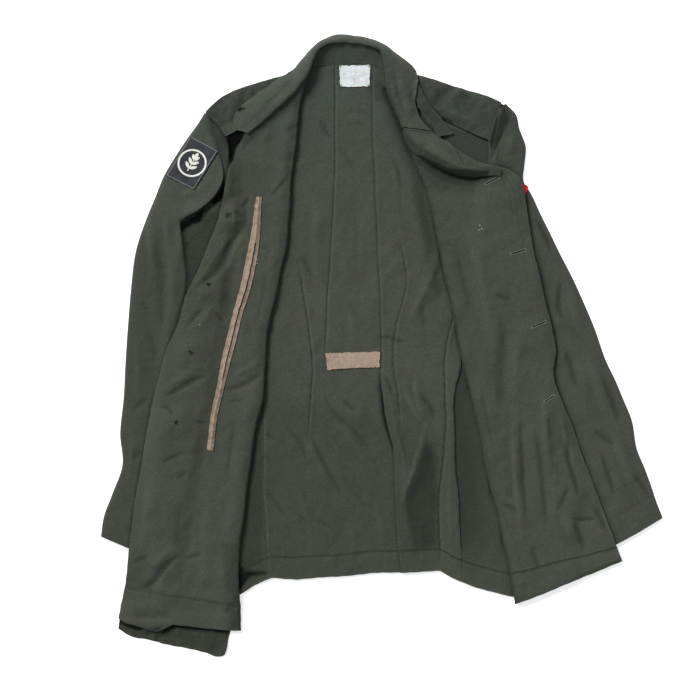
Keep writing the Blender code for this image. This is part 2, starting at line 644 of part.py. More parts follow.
def sleeve(name, rows, more, pile):
    """A flat tube, from the armhole to the open cuff."""
    sections = along(rows, SLEEVE_ROWS)
    out = sections[:, 0:2] - sections[:, 4:6]
    out /= np.linalg.norm(out, axis=1, keepdims=True)
    sections[:, 0:2] -= out * SLEEVE_INSET
    outer_part = ruled(sections[:, 0:2], sections[:, 2:4], SLEEVE_OUTER_COLUMNS + 1)
    inner_part = ruled(sections[:, 2:4], sections[:, 4:6], SLEEVE_INNER_COLUMNS + 1)
    step = inner_part[:, :1] + (inner_part[:, 1:2] - inner_part[:, :1]) * SLEEVE_STEP
    grid = np.concatenate([outer_part, step, inner_part[:, 1:]], axis=1)
    x, y = grid[..., 0], grid[..., 1]
    low = stacked(x, y, drape(x, y, pile, softness=3))
    columns = x.shape[1]
    place = np.linspace(0, 1, columns)[None, :]
    puff = SLEEVE_EDGE_SPACE + sections[:, 6:7] * np.sin(np.pi * place) ** PUFF_POWER
    high = low[..., 2] + WALL + puff + folds(x, y, more) * np.sin(np.pi * place) ** FOLD_POWER
    edge = SLEEVE_OUTER_COLUMNS
    raise_by = sections[:, 7:8] * np.linspace(DROP_OUTSIDE, 1.0, edge + 1)[None, :]
    high[:, : edge + 1] += raise_by
    top = stacked(x, y, high)
    pile.add(x, y, high + WALL)

    def turn(column, neighbour):
        out = low[:, column, :2] - low[:, neighbour, :2]
        out /= np.maximum(np.linalg.norm(out, axis=1, keepdims=True), 1e-6)
        space = (top[:, column, 2] - low[:, column, 2] - WALL) / 2
        middle = low[:, column, 2] + WALL + space
        inner = np.column_stack([low[:, column, :2] + out * space[:, None], middle])
        outer = np.column_stack([low[:, column, :2] + out * (space + WALL)[:, None], middle])
        return inner[:, None, :], outer[:, None, :]

    far_inner, far_outer = turn(columns - 1, columns - 2)
    near_inner, near_outer = turn(0, 1)
    cloth_inside = [raised(low, WALL), far_inner, top[:, ::-1], near_inner, raised(low[:, :1], WALL)]
    cloth_outside = [low, far_outer, raised(top[:, ::-1], WALL), near_outer, low[:, :1]]
    piece(name, np.concatenate(cloth_inside, axis=1), np.concatenate(cloth_outside, axis=1), CLOTH, loop=True)


def band(name, rows, count, pile):
    """A rolled band of doubled cloth, with a lip that turns down along its inner edge."""
    sections = along(rows, count)
    across = np.linspace(0, 1, COLLAR_COLUMNS + 1)[None, :]
    grid = ruled(sections[:, 0:2], sections[:, 2:4], COLLAR_COLUMNS + 1)
    inward = sections[:, 0:2] - sections[:, 2:4]
    inward /= np.linalg.norm(inward, axis=1, keepdims=True)
    grid = np.concatenate([grid[:, :1] + (inward * LIP_OUT)[:, None, :] * LIP_SHARE, grid], axis=1)
    inner_z, crest, outer_z, lip = (sections[:, i : i + 1] for i in range(4, 8))
    rise = inner_z * (1 - across) + outer_z * across + crest * 4 * across * (1 - across)
    rise = np.concatenate([rise[:, :1] - np.maximum(lip, LIP_LEAST), rise], axis=1)
    x, y = grid[..., 0], grid[..., 1]
    z = np.maximum(drape(x, y, pile, reach=2, softness=0), rise)
    points = stacked(x, y, z)
    top = points + facing(points) * COLLAR_WALL
    piece(name, points, top, CLOTH)
    pile.add(x, y, z + COLLAR_WALL)


def lay_stand(neck, pile):
    """The stand rises from the neck seam of the back to the roll of the collar."""
    sections = along(COLLAR_STAND, STAND_ROWS)
    sections[:, 1] = np.interp(sections[:, 0], *neck) + SEAM_GAP + STAND_LEAN
    grid = ruled(sections[:, 0:2], sections[:, 2:4], STAND_COLUMNS)
    t = np.linspace(0, 1, STAND_COLUMNS)[None, :]
    z = sections[:, 4:5] * (STAND_EVEN * t + (1.0 - STAND_EVEN) * t**2)
    points = stacked(grid[..., 0], grid[..., 1], z)
    piece("collar_stand", points, points + facing(points) * WALL, CLOTH)
    pile.add(grid[..., 0], grid[..., 1], z + WALL)


def lay_buttons(pile):
    """Each button is kept as its centre, since it is a turned disc and no cloth."""
    places = []
    for x, y in BUTTONS:
        t = np.linspace(-BUTTON_RADIUS, BUTTON_RADIUS, 3)
        gx, gy = np.meshgrid(x + t, y + t)
        z = drape(gx, gy, pile, softness=0).max()
        places.append((x, y, z))
        pile.add(gx, gy, np.full_like(gx, z + BUTTON_DEPTH))
    return places


def material(look):
    """The material of a look, made once."""
    name, colour, roughness = look
    found = bpy.data.materials.get(name)
    if found:
        return found
    made = bpy.data.materials.new(name)
    made.use_nodes = True
    shader = made.node_tree.nodes["Principled BSDF"]
    shader.inputs["Base Color"].default_value = (*colour, 1.0)
    shader.inputs["Roughness"].default_value = roughness
    return made


def finished(name, bm, look, collection):
    """The mesh as a named object, shaded smooth up to its sharp edges."""
    bmesh.ops.recalc_face_normals(bm, faces=bm.faces[:])
    mesh = bpy.data.meshes.new(name)
    bm.to_mesh(mesh)
    bm.free()
    mesh.polygons.foreach_set("use_smooth", [True] * len(mesh.polygons))
    mesh.set_sharp_from_angle(angle=SHARP_ANGLE)
    mesh.materials.append(material(look))
    made = bpy.data.objects.new(name, mesh)
    collection.objects.link(made)


def build_piece(name, inner, outer, look, loop, keep, collection):
    """Makes the cloth between two grids: a grid, moved to the inner points, extruded to the outer points."""
    rows, columns = inner.shape[:2]
    bm = bmesh.new()
    bmesh.ops.create_grid(bm, x_segments=columns - 1, y_segments=rows - 1, size=1.0)
    slot = bm.verts.layers.int.new("slot")
    for vert in bm.verts:
        column = round((vert.co.x + 1) / 2 * (columns - 1))
        row = round((vert.co.y + 1) / 2 * (rows - 1))
        vert[slot] = row * columns + column
    if keep is not None:
        unwanted = []
        for face in bm.faces:
            slots = [vert[slot] for vert in face.verts]
            if not keep[min(slots) // columns, min(s % columns for s in slots)]:
                unwanted.append(face)
        bmesh.ops.delete(bm, geom=unwanted, context="FACES")
    inner, outer = inner.reshape(-1, 3) * MM, outer.reshape(-1, 3) * MM
    for vert in bm.verts:
        vert.co = inner[vert[slot]]
    if loop:
        bmesh.ops.remove_doubles(bm, verts=bm.verts[:], dist=1e-7)
    bmesh.ops.triangulate(bm, faces=bm.faces[:], quad_method="FIXED")
    made = bmesh.ops.extrude_face_region(bm, geom=bm.faces[:])
    for item in made["geom"]:
        if isinstance(item, bmesh.types.BMVert):
            item.co = outer[item[slot]]
    finished(name, bm, look, collection)


def build_button(name, place, collection):
    """A disc with a bevelled rim."""
    bm = bmesh.new()
    bmesh.ops.create_cone(bm, cap_ends=True, segments=BUTTON_SIDES, radius1=BUTTON_RADIUS * MM,
                          radius2=BUTTON_RADIUS * MM, depth=BUTTON_DEPTH * MM)
    rims = [edge for edge in bm.edges if abs(edge.verts[0].co.z - edge.verts[1].co.z) < 1e-6]
    bmesh.ops.bevel(bm, geom=rims, offset=BUTTON_BEVEL * MM, segments=1, affect="EDGES")
    x, y, z = place
    bmesh.ops.translate(bm, verts=bm.verts[:], vec=(x * MM, y * MM, (z + BUTTON_DEPTH / 2) * MM))
    finished(name, bm, BUTTON_DARK, collection)


def main():
    for old in list(bpy.data.objects):
        bpy.data.objects.remove(old, do_unlink=True)
    collection = bpy.data.collections.new(OBJECT_NAME)
    bpy.context.scene.collection.children.link(collection)

    pile = Pile()
    neck = lay_back(pile)
    quad("waist_patch", WAIST_PATCH, LINING_TAN, pile, PATCH_WALL)
    quad("neck_label", NECK_LABEL, LABEL_WHITE, pile, PATCH_WALL)
    right_lower = front_lower(RIGHT_FRONT, pile)
    left_lower = front_lower(LEFT_FRONT, pile)
    strip("right_yoke", RIGHT_YOKE, 9, 4, CLOTH, pile, WALL, SEAM_GAP, RIGHT_YOKE_FOLDS)
    strip("left_yoke", LEFT_YOKE, 9, 4, CLOTH, pile, WALL, SEAM_GAP, LEFT_YOKE_FOLDS)
    sleeve("right_sleeve", RIGHT_SLEEVE, RIGHT_SLEEVE_FOLDS, pile)
    sleeve("left_sleeve", LEFT_SLEEVE, LEFT_SLEEVE_FOLDS, pile)
    quad("sleeve_patch", SLEEVE_PATCH, PATCH_SLATE, pile, PATCH_WALL)
    quad("red_patch", RED_PATCH, PATCH_RED, pile, PATCH_WALL)
    buttons = lay_buttons(pile)
    strip("right_underhem", RIGHT_UNDERHEM, 12, 3, CLOTH, pile, WALL)
    front("right_front", RIGHT_FRONT, right_lower, RIGHT_FRONT_FOLDS, pile)
    front("left_front", LEFT_FRONT, left_lower, LEFT_FRONT_FOLDS, pile)
    strip("front_tape", FRONT_TAPE, 24, 2, LINING_TAN, pile, PATCH_WALL, SEAM_GAP, reach=0)
    lay_stand(neck, pile)
    strip("collar_point", COLLAR_POINT, 7, 3, CLOTH, pile, COLLAR_WALL)
    band("collar", COLLAR, COLLAR_ROWS, pile)
    band("left_lapel", LEFT_LAPEL, LAPEL_ROWS, pile)

    corners = np.concatenate([grid.reshape(-1, 3) for item in pieces for grid in item[1:3]])
    middle = (corners.min(axis=0) + corners.max(axis=0)) / 2
    middle[2] = 0.0
    for name, inner, outer, look, loop, keep in pieces:
        build_piece(name, inner - middle, outer - middle, look, loop, keep, collection)
    for index, place in enumerate(buttons):
        build_button(f"button_{index + 1}", np.array(place) - middle, collection)


main()
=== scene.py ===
"""Bush shirt laid open on its back: its cloth, seams, trims and stitching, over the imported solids.

Tables are in millimetres on the laid shirt: x to the wearer's left, y to the neck, z up.
"""

import math

import bpy
import numpy as np
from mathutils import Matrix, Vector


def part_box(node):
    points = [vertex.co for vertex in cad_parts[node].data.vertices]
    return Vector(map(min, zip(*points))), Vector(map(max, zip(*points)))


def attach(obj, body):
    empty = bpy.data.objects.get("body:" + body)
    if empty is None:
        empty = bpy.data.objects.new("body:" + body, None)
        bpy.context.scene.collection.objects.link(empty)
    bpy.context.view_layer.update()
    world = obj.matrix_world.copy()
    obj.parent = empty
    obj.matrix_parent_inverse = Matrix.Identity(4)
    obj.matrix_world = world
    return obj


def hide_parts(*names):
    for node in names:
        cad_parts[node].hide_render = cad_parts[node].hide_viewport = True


bl_info = {
    "name": "Bush shirt",
    "version": (1, 0, 0),
    "blender": (4, 5, 0),
    "location": "View3D > Sidebar > Bush shirt",
    "description": "Builds the cloth, trims and stitching of a laid-open bush shirt",
    "category": "Object",
}

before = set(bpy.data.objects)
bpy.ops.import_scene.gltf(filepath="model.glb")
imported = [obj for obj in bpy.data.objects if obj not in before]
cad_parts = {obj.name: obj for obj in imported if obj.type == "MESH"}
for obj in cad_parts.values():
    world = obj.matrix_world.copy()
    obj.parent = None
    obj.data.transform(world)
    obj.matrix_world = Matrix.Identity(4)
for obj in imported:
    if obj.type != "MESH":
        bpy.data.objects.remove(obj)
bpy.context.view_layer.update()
MM = 0.001

# Photograph: millimetres to a pixel, its size, and the table point at its centre
PHOTO_SCALE = 1.45
PHOTO_SIDE = 700
PHOTO_CENTRE = (-46, -6)
LENS = 85.0
SENSOR = 36.0

# Spaces between layers, and how far a fold or an edge reaches
LAY_GAP = 0.4
FRONT_LOFT = 4.5
LOFT_REACH = 26.0
FOLD_INSET = 3.5
# A fold stands out no farther than this. Its rounding goes through these angles.
FOLD_WIDEST = 4.0
FOLD_ANGLES = (-66.0, -44.0, -22.0, 0.0, 22.0, 44.0, 66.0)
SLEEVE_EDGE_SPACE = 0.8
SLEEVE_INSET = 1.8
LIP_OUT = 2.2
STAND_LEAN = -1.2
STAND_TUCK = 3.0
# Thickness of doubled cloth, of a patch and of the sewn edge of a hem, and the spacing of a patch's points
COLLAR_WALL = 2.6
PATCH_WALL = 1.0
THIN_EDGE = 0.35
PATCH_STEP = 2.2
# Painted shade on the lower layers of a front, in hollows, and on the collar's lip from its edge inward
UNDER_SHADE = 0.35
HOLLOW_SHADE = 0.34
LIP_SHADE = (0.8, 0.7, 0.55, 0.35, 0.2)
# Side and cell of the field that holds the heights of the pile
FIELD = 1040.0
CELL = 1.5
SAMPLES = 4
CREASE_CORE = 0.5
CORE_LEAST = 2.1
CREASE_TAPER = 2.6
HOLLOW_DEPTH = 0.6
FOLD_STANDS = 3.6
VENT_UNDERLAP = 8.0
FLAP_LOFT = 2.4
FOLD_ROUND = 2.0
SLEEVE_LOFT = 1.6
WANDER = 0.42

# Seams of the back: y, then x of each seam at that height.
# SIDE is the armhole and the side seam, SEAM the side-back seam and CENTRE the edge of the centre
# panel, which below the waist is plain cloth on the right and the edge of the vent on the left.
SIDE_R = ((336, -256), (313, -244), (284, -239), (241, -246), (204, -263),
          (171, -281), (125, -295), (23, -308), (-78, -316), (-223, -320), (-357, -320))
SEAM_R = ((357, -211), (284, -205), (139, -197), (23, -185), (-122, -171),
          (-209, -172), (-322, -165), (-368, -162))
CENTRE_R = ((406, -68), (251, -68), (152, -73), (52, -80), (-10, -82),
            (-122, -76), (-326, -70))
CENTRE_L = ((406, -15), (313, -14), (196, -9), (41, -2), (-49, -1),
            (-99, 5), (-146, 17), (-260, 21), (-326, 28))
SEAM_L = ((357, 128), (284, 124), (212, 117), (125, 108), (36, 102), (7, 95),
          (-26, 90), (-107, 93), (-160, 90), (-213, 83), (-271, 83), (-354, 88))
SIDE_L = ((349, 176), (320, 167), (284, 162), (241, 169), (204, 183),
          (171, 204), (125, 215), (23, 231), (-78, 246), (-223, 267), (-328, 283))

# Edges of the back: x, then y. The top is the shoulders and the neck, the bottom the hem.
BACK_TOP = ((-256, 336), (-247, 347), (-230, 360), (-210, 370), (-181, 378), (-136, 392),
            (-99, 402), (-69, 406), (-18, 407), (3, 399), (51, 390), (86, 378),
            (109, 370), (137, 364), (160, 357), (176, 349))
BACK_HEM = ((-320, -357), (-256, -362), (-205, -360), (-184, -347), (-160, -336), (-123, -338),
            (-63, -334), (-14, -329), (28, -328), (85, -326), (101, -336), (135, -349),
            (189, -364), (215, -357), (244, -347), (283, -328))
BACK_HEM_DEPTH = 33.0
WAIST_Y = -29
# Lengths above and below the waist, the share of the first that the armhole takes, and the heights
# that the search for the edges starts from
BACK_LENGTHS = (415.0, 272.0)
ARMHOLE_SHARE = 5 / 11
BACK_START = (386, -325)
BACK_ROUNDS = 12

# Fronts: a row per section from the neck to the hem.
# side_x, side_y, fold_x, fold_y, edge_x, edge_y
RIGHT_FRONT = (
    (-226, 300, -102, 396, -205, 302),
    (-221, 281, -115, 361, -214, 281),
    (-221, 255, -121, 320, -221, 257),
    (-227, 226, -125, 277, -226, 226),
    (-246, 203, -131, 233, -233, 193),
    (-269, 180, -133, 190, -242, 165),
    (-284, 154, -137, 146, -254, 136),
    (-292, 122, -146, 103, -268, 103),
    (-300, 84, -156, 59, -284, 67),
    (-305, 45, -165, 16, -295, 28),
    (-310, 6, -168, -28, -312, -9),
    (-313, -35, -171, -71, -322, -49),
    (-316, -75, -181, -115, -333, -90),
    (-318, -116, -188, -158, -340, -130),
    (-320, -157, -194, -202, -347, -170),
    (-320, -197, -199, -245, -354, -210),
    (-320, -238, -205, -289, -360, -251),
    (-320, -278, -207, -332, -365, -294),
    (-320, -319, -205, -371, -371, -342),
    (-320, -355, -204, -413, -381, -396),
)
LEFT_FRONT = (
    (156, 294, 27, 345, 92, 294),
    (156, 284, 34, 313, 143, 264),
    (159, 262, 44, 277, 182, 254),
    (167, 233, 57, 244, 201, 238),
    (183, 200, 67, 212, 208, 207),
    (201, 171, 76, 177, 212, 174),
    (212, 139, 82, 142, 218, 139),
    (220, 103, 89, 107, 227, 102),
    (227, 67, 98, 72, 234, 67),
    (231, 30, 105, 38, 244, 32),
    (237, -6, 112, 0, 251, -3),
    (241, -46, 122, -46, 247, -41),
    (246, -86, 133, -87, 260, -80),
    (251, -125, 141, -125, 276, -119),
    (257, -165, 148, -165, 289, -157),
    (263, -206, 157, -206, 304, -197),
    (269, -245, 169, -249, 320, -239),
    (275, -281, 177, -290, 333, -273),
    (280, -310, 186, -334, 340, -293),
    (283, -329, 193, -374, 347, -312),
)
FRONT_HEM_DEPTH = 36.0

# Cloth that shows below the turned-up hem of the right front:
# top_x, top_y, bottom_x, bottom_y
RIGHT_UNDERHEM = (
    (-378, -374, -382, -410),
    (-359, -377, -365, -420),
    (-333, -380, -336, -426),
    (-304, -384, -308, -434),
    (-276, -387, -278, -439),
    (-252, -390, -256, -444),
    (-234, -392, -237, -450),
    (-223, -393, -227, -447),
    (-214, -393, -221, -420),
)

# Shoulders, from the neck to the armhole: top_x, top_y, seam_x, seam_y
RIGHT_YOKE = (
    (-114, 397, -115, 374),
    (-136, 393, -131, 364),
    (-181, 380, -159, 347),
    (-210, 371, -184, 329),
    (-230, 361, -204, 315),
    (-247, 347, -218, 306),
    (-255, 338, -226, 302),
)
LEFT_YOKE = (
    (11, 397, 25, 351),
    (41, 394, 48, 345),
    (70, 387, 77, 335),
    (96, 378, 98, 323),
    (122, 370, 119, 313),
    (148, 363, 138, 304),
    (173, 352, 155, 297),
)

# Sleeves, a row per section from the shoulder to the cuff:
# outer_x, outer_y, crease_x, crease_y, inner_x, inner_y, puff, drop
# puff is the space inside, drop the step down where the upper cloth folds along the crease.
RIGHT_SLEEVE = (
    (-256, 336, -250, 332, -244, 326, 1.5, 0),
    (-278, 306, -243, 310, -226, 300, 3, 0.5),
    (-297, 277, -233, 273, -221, 268, 3.5, 2),
    (-315, 246, -229, 241, -218, 229, 3.5, 5),
    (-327, 215, -244, 212, -220, 194, 3.5, 9),
    (-337, 191, -266, 194, -223, 168, 3.5, 10),
    (-346, 168, -288, 181, -226, 148, 3, 9),
    (-356, 135, -287, 139, -229, 122, 3, 6),
    (-363, 81, -284, 88, -234, 67, 2.5, 4),
    (-367, 36, -298, 41, -242, 16, 2.5, 2),
    (-371, -20, -314, -20, -252, -42, 2.5, 1),
    (-374, -75, -324, -78, -263, -100, 2.5, 0),
    (-379, -126, -333, -130, -275, -158, 2.5, 0),
    (-376, -174, -339, -186, -284, -212, 2.5, 0),
    (-391, -216, -350, -231, -291, -260, 2.5, 0),
    (-403, -249, -359, -268, -297, -296, 2.5, 0),
    (-407, -276, -363, -294, -301, -325, 2.5, 0),
)
LEFT_SLEEVE = (
    (179, 350, 175, 347, 170, 342, 1.5, 0),
    (194, 336, 180, 328, 162, 319, 3, 0),
    (199, 315, 177, 307, 156, 297, 3.5, 1),
    (208, 289, 172, 281, 156, 273, 3.5, 3),
    (206, 262, 167, 255, 153, 241, 3.5, 4),
    (205, 239, 172, 226, 148, 209, 3.5, 2),
    (217, 219, 180, 200, 146, 177, 3, 0),
    (230, 191, 189, 168, 143, 144, 3, 0),
    (243, 165, 201, 138, 144, 110, 3, 0),
    (257, 136, 214, 107, 150, 78, 3, 0),
    (276, 99, 231, 70, 160, 38, 2.5, 0),
    (292, 64, 246, 33, 172, -1, 2.5, 0),
    (308, 26, 260, -6, 183, -41, 2.5, 0),
    (325, -22, 276, -52, 198, -88, 2.5, 0),
    (338, -49, 289, -83, 211, -117, 2.5, 0),
    (351, -80, 302, -113, 224, -146, 2.5, 0),
    (362, -107, 314, -142, 237, -177, 2.5, 0),
    (370, -151, 325, -183, 253, -215, 2.5, 0),
    (380, -175, 336, -209, 266, -244, 2.5, 0),
    (389, -199, 346, -232, 279, -267, 2.5, 0),
    (398, -226, 356, -255, 292, -289, 2.5, 0),
    (407, -249, 366, -273, 304, -306, 2.5, 0),
)
# How square the puff and the folds are across the sleeve, and the share of the drop at its outer edge
PUFF_POWER = 0.6
FOLD_POWER = 0.5
DROP_OUTSIDE = 0.25
DROP_INSIDE = (0.9, 0.62, 0.3, 0.08)

# Stand of the collar at the back of the neck: seam_x, seam_y, roll_x, roll_y, roll_z
COLLAR_STAND = (
    (-99, 404, -102, 412, 9),
    (-92, 405, -95, 420, 11),
    (-81, 407, -82, 432, 12.5),
    (-63, 408, -65, 437, 13),
    (-40, 410, -41, 435, 13),
    (-18, 410, -17, 430, 12.5),
    (-4, 405, -2, 425, 12),
    (5, 399, 4, 415, 9),
)
# Share of the stand's rise that is even. The rest is steeper toward the roll.
STAND_EVEN = 0.65
# Collar, from the end of the right leaf round the back of the neck to the left leaf:
# inner_x, inner_y, outer_x, outer_y, inner_z, crest, outer_z, lip
COLLAR = (
    (-194, 307, -210, 312, 12, 1, 10, 3),
    (-189, 311, -214, 325, 13, 1, 10, 4),
    (-179, 320, -207, 341, 14.5, 1.5, 9, 5),
    (-159, 337, -188, 357, 16, 2, 8, 6),
    (-137, 357, -165, 373, 17.5, 2, 7, 6),
    (-120, 376, -142, 390, 18.5, 2.5, 6, 6),
    (-108, 393, -127, 399, 19, 3, 4, 5),
    (-102, 407, -114, 413, 18, 3.5, 2, 3),
    (-95, 423, -102, 427, 17, 4, 1, 1),
    (-84, 434, -89, 439, 16, 4, 1, 0.5),
    (-65, 439, -66, 449, 15.5, 4, 1, 0.5),
    (-41, 437, -40, 447, 15.5, 4, 1, 0.5),
    (-17, 433, -15, 442, 16, 4, 1, 0.5),
    (-1, 426, 6, 433, 17.5, 4, 1, 1),
    (3, 415, 21, 421, 19, 4, 2, 4),
    (6, 397, 40, 407, 19.5, 4, 3, 7),
    (9, 377, 51, 390, 19, 4, 6, 8),
    (14, 358, 50, 368, 18, 4, 9, 8),
    (22, 339, 49, 349, 16.5, 3.5, 10.5, 8),
    (28, 326, 53, 331, 15, 2.5, 11, 7),
    (32, 315, 70, 310, 14.5, 2, 11, 6),
)
# Share of LIP_OUT that the lip stands out, and the least that it turns down
LIP_SHARE = 0.6
LIP_LEAST = 0.4
LIP_ANGLES = (90.0, 70.0, 50.0, 30.0, 14.0)
# Height at which the collar rolls over the back of the neck
NECK_Y = 411.8
# Lapel of the left front, from the collar seam to the top of the front edge
LEFT_LAPEL = (
    (32, 313, 71, 309, 14.5, 2, 11, 6),
    (37, 297, 90, 297, 15, 3.5, 10.5, 8),
    (47, 280, 101, 289, 16, 4.5, 10, 9),
    (64, 270, 108, 277, 16.5, 4, 10.5, 9),
    (82, 259, 113, 267, 16.5, 3, 11.5, 8),
    (102, 251, 118, 259, 16, 1.5, 12, 7),
    (122, 246, 128, 257, 15.5, 1, 12.5, 6),
    (146, 245, 148, 258, 14, 0.5, 12, 4),
    (170, 246, 171, 254, 11, 0.3, 10.5, 2),
)
# Point of the collar that lies on the left shoulder: inner_x, inner_y, outer_x, outer_y
COLLAR_POINT = (
    (47, 380, 54, 377),
    (48, 362, 63, 358),
    (54, 345, 75, 342),
    (64, 326, 89, 325),
    (75, 312, 98, 313),
    (80, 302, 104, 307),
)

# Pieces that lie on others: four corners, in order round the piece
WAIST_PATCH = (-81, -11, -3, -8, -3, -30, -79, -35)
NECK_LABEL = (-61, 406, -17, 406, -17, 376, -60, 375)
SLEEVE_PATCH = (-276, 303, -237, 281, -271, 225, -311, 246)
RED_PATCH = (186, 243, 212, 231, 203, 206, 176, 215)
# Doubled tape inside the right front: left_x, left_y, right_x, right_y
FRONT_TAPE = (
    (-181, 215, -173, 214),
    (-188, 168, -176, 167),
    (-195, 128, -180, 126),
    (-205, 83, -191, 78),
    (-214, 49, -201, 45),
    (-224, 12, -211, 7),
    (-232, -26, -220, -30),
    (-239, -61, -229, -64),
    (-247, -103, -238, -106),
    (-253, -150, -244, -152),
)
BUTTONS = ((-221, 187), (-249, 87), (-275, -10), (-297, -110))

# Creases: half width, lean (+ is steep to the right of its course, - to the left), rise, then the
# points of its course.
BACK_CREASES = (
    (4, 0, -1.3, -88.7, 333.9, -79.8, 309.3, -67.6, 297.2),
    (5, 0, -0.9, -64.7, 292.9, -44.8, 261.4, -38.6, 246.5),
    (4, 0, -0.6, -55.1, 333.5, -44.4, 339.3, -18.3, 337.8),
    (4, 0, -0.6, -53.1, 316.1, -37.1, 321.9, -19.7, 317.6),
    (5, 0, -0.8, -13.9, 353.8, 4.9, 361.1),
    (6, 0.3, -1.4, 3.5, 294.3, 20, 261.4, 28.1, 198.7, 33.2, 147.9),
    (7, 0.3, 1, 9.3, 269.7, 25.2, 226.2, 29.6, 175.4, 32.5, 121.8),
    (5, 0, -1, -119.8, 134.8, -106.7, 111.6, -96.6, 89.9),
    (12, 0.3, 3.6, 33.9, 29, 61.5, 76.8, 81.8, 118.9),
    (6, -0.3, -2, 73.1, 88.5, 87.6, 121.8, 93.4, 139.2),
    (5, 0, -0.9, 58.6, 66.7, 60, 17.4),
    (6, -0.4, -2, -105.6, -108.8, -99.5, -134.8, -83.5, -166.8, -70.5, -194.3, -56, -230.5),
    (8, 0.4, 1.6, -109.6, -124.7, -100.9, -153.7, -86.4, -182.7, -71.9, -217.5),
    (5, -0.3, -2.1, -85, -60.9, -70.5, -94.2, -47.3, -114.5, -29.1, -134.8, -6.7, -168.2),
    (8, 0.3, 1.4, -76.3, -107.3, -53.1, -127.6, -35.7, -149.3, -15.4, -179.8),
    (4, 0, -1.3, -60.3, -75.4, -47.3, -87, -34.2, -97.1),
    (5, 0, -1.5, -132.8, -123.2, -117.3, -140.7, -105.3, -168.2),
    (4, 0, -1, -18.3, 8.7, 6.4, 12.3, 33.9, 7.2, 42.6, 17.4),
    (16, 0.45, 7, 65.8, -95.7, 61.5, -130.5, 51.3, -162.4, 39.7, -197.2, 23.8, -240.7),
    (8, 0.2, 3, 31, -60.9, 47, -94.2, 62.9, -118.9),
    (6, 0.2, 2.5, 48.4, -37.7, 51.3, -78.3, 62.9, -113.1),
    (5, 0, -1.6, 52.8, -71, 70.2, -87, 76, -113.1),
    (9, 0, -1.2, 76, -136.3, 67.3, -179.8, 57.1, -223.3),
    (7, 0, 2.2, 6.4, -43.5, 13.6, -81.2, 22.3, -124.7, 31, -158, 33.9, -223.3, 36.8, -288.6),
    (5, 0, -1.6, 0.6, -37.7, 10.7, -55.1, 16.5, -76.8),
    (4, 0, -1.6, -170.5, -124.7, -161.8, -130.5, -150.2, -139.2),
    (4, 0, -1.2, -170.5, -158, -164.7, -163.8, -156, -168.2),
    (4.5, 0, -2.2, -173.4, -207.3, -156, -222.6, -147.3, -236.3, -132.8, -250.8),
    (5, 0, -1, -141.5, -232, -117.6, -246.5, -100.9, -268.2),
    (4, 0, -1.3, -100.9, -250.8, -83.5, -256.6, -66.1, -268.2),
    (5, 0, -1.4, -144.4, -120.3, -122.7, -131.9, -114.7, -150.8, -105.3, -176.9),
    (8, 0, 1.3, -132.8, -179.8, -114, -223.3, -103.8, -281.3),
    (6, 0, -1, -100.9, -131.9, -80.6, -175.4, -61.8, -210.2, -51.6, -242.2),
    (5, 0, -1, -42.9, -208.8, -31.3, -224.8, -22.6, -240.7),
    (10, 0, 1.4, -53.1, 66.7, -42.9, 23.2, -45.8, -8.7),
    (12, 0, 1.5, -92.2, 240.7, -96.6, 153.7, -92.2, 66.7),
    (10, 0, -0.8, -42.9, 226.2, -37.1, 153.7, -41.5, 81.2),
    (9, 0.3, 2, 96.3, -78.3, 99.2, -150.8, 97.7, -223.3, 97.7, -310.3),
    (9, 0, -1, 128.2, -136.3, 136.9, -223.3, 148.5, -310.3),
    (6, 0, -1.2, 116.6, -179.8, 123.8, -252.3, 135.4, -310.3),
    (8, 0, 1.5, -9.6, -223.3, -0.9, -266.8, 0.6, -304.5),
    (8, 0, 1.2, -45.8, -252.3, -42.9, -288.6, -45.8, -319),
    (7, 0, 1.4, 52.8, -252.3, 57.1, -288.6, 61.5, -324.8),
)
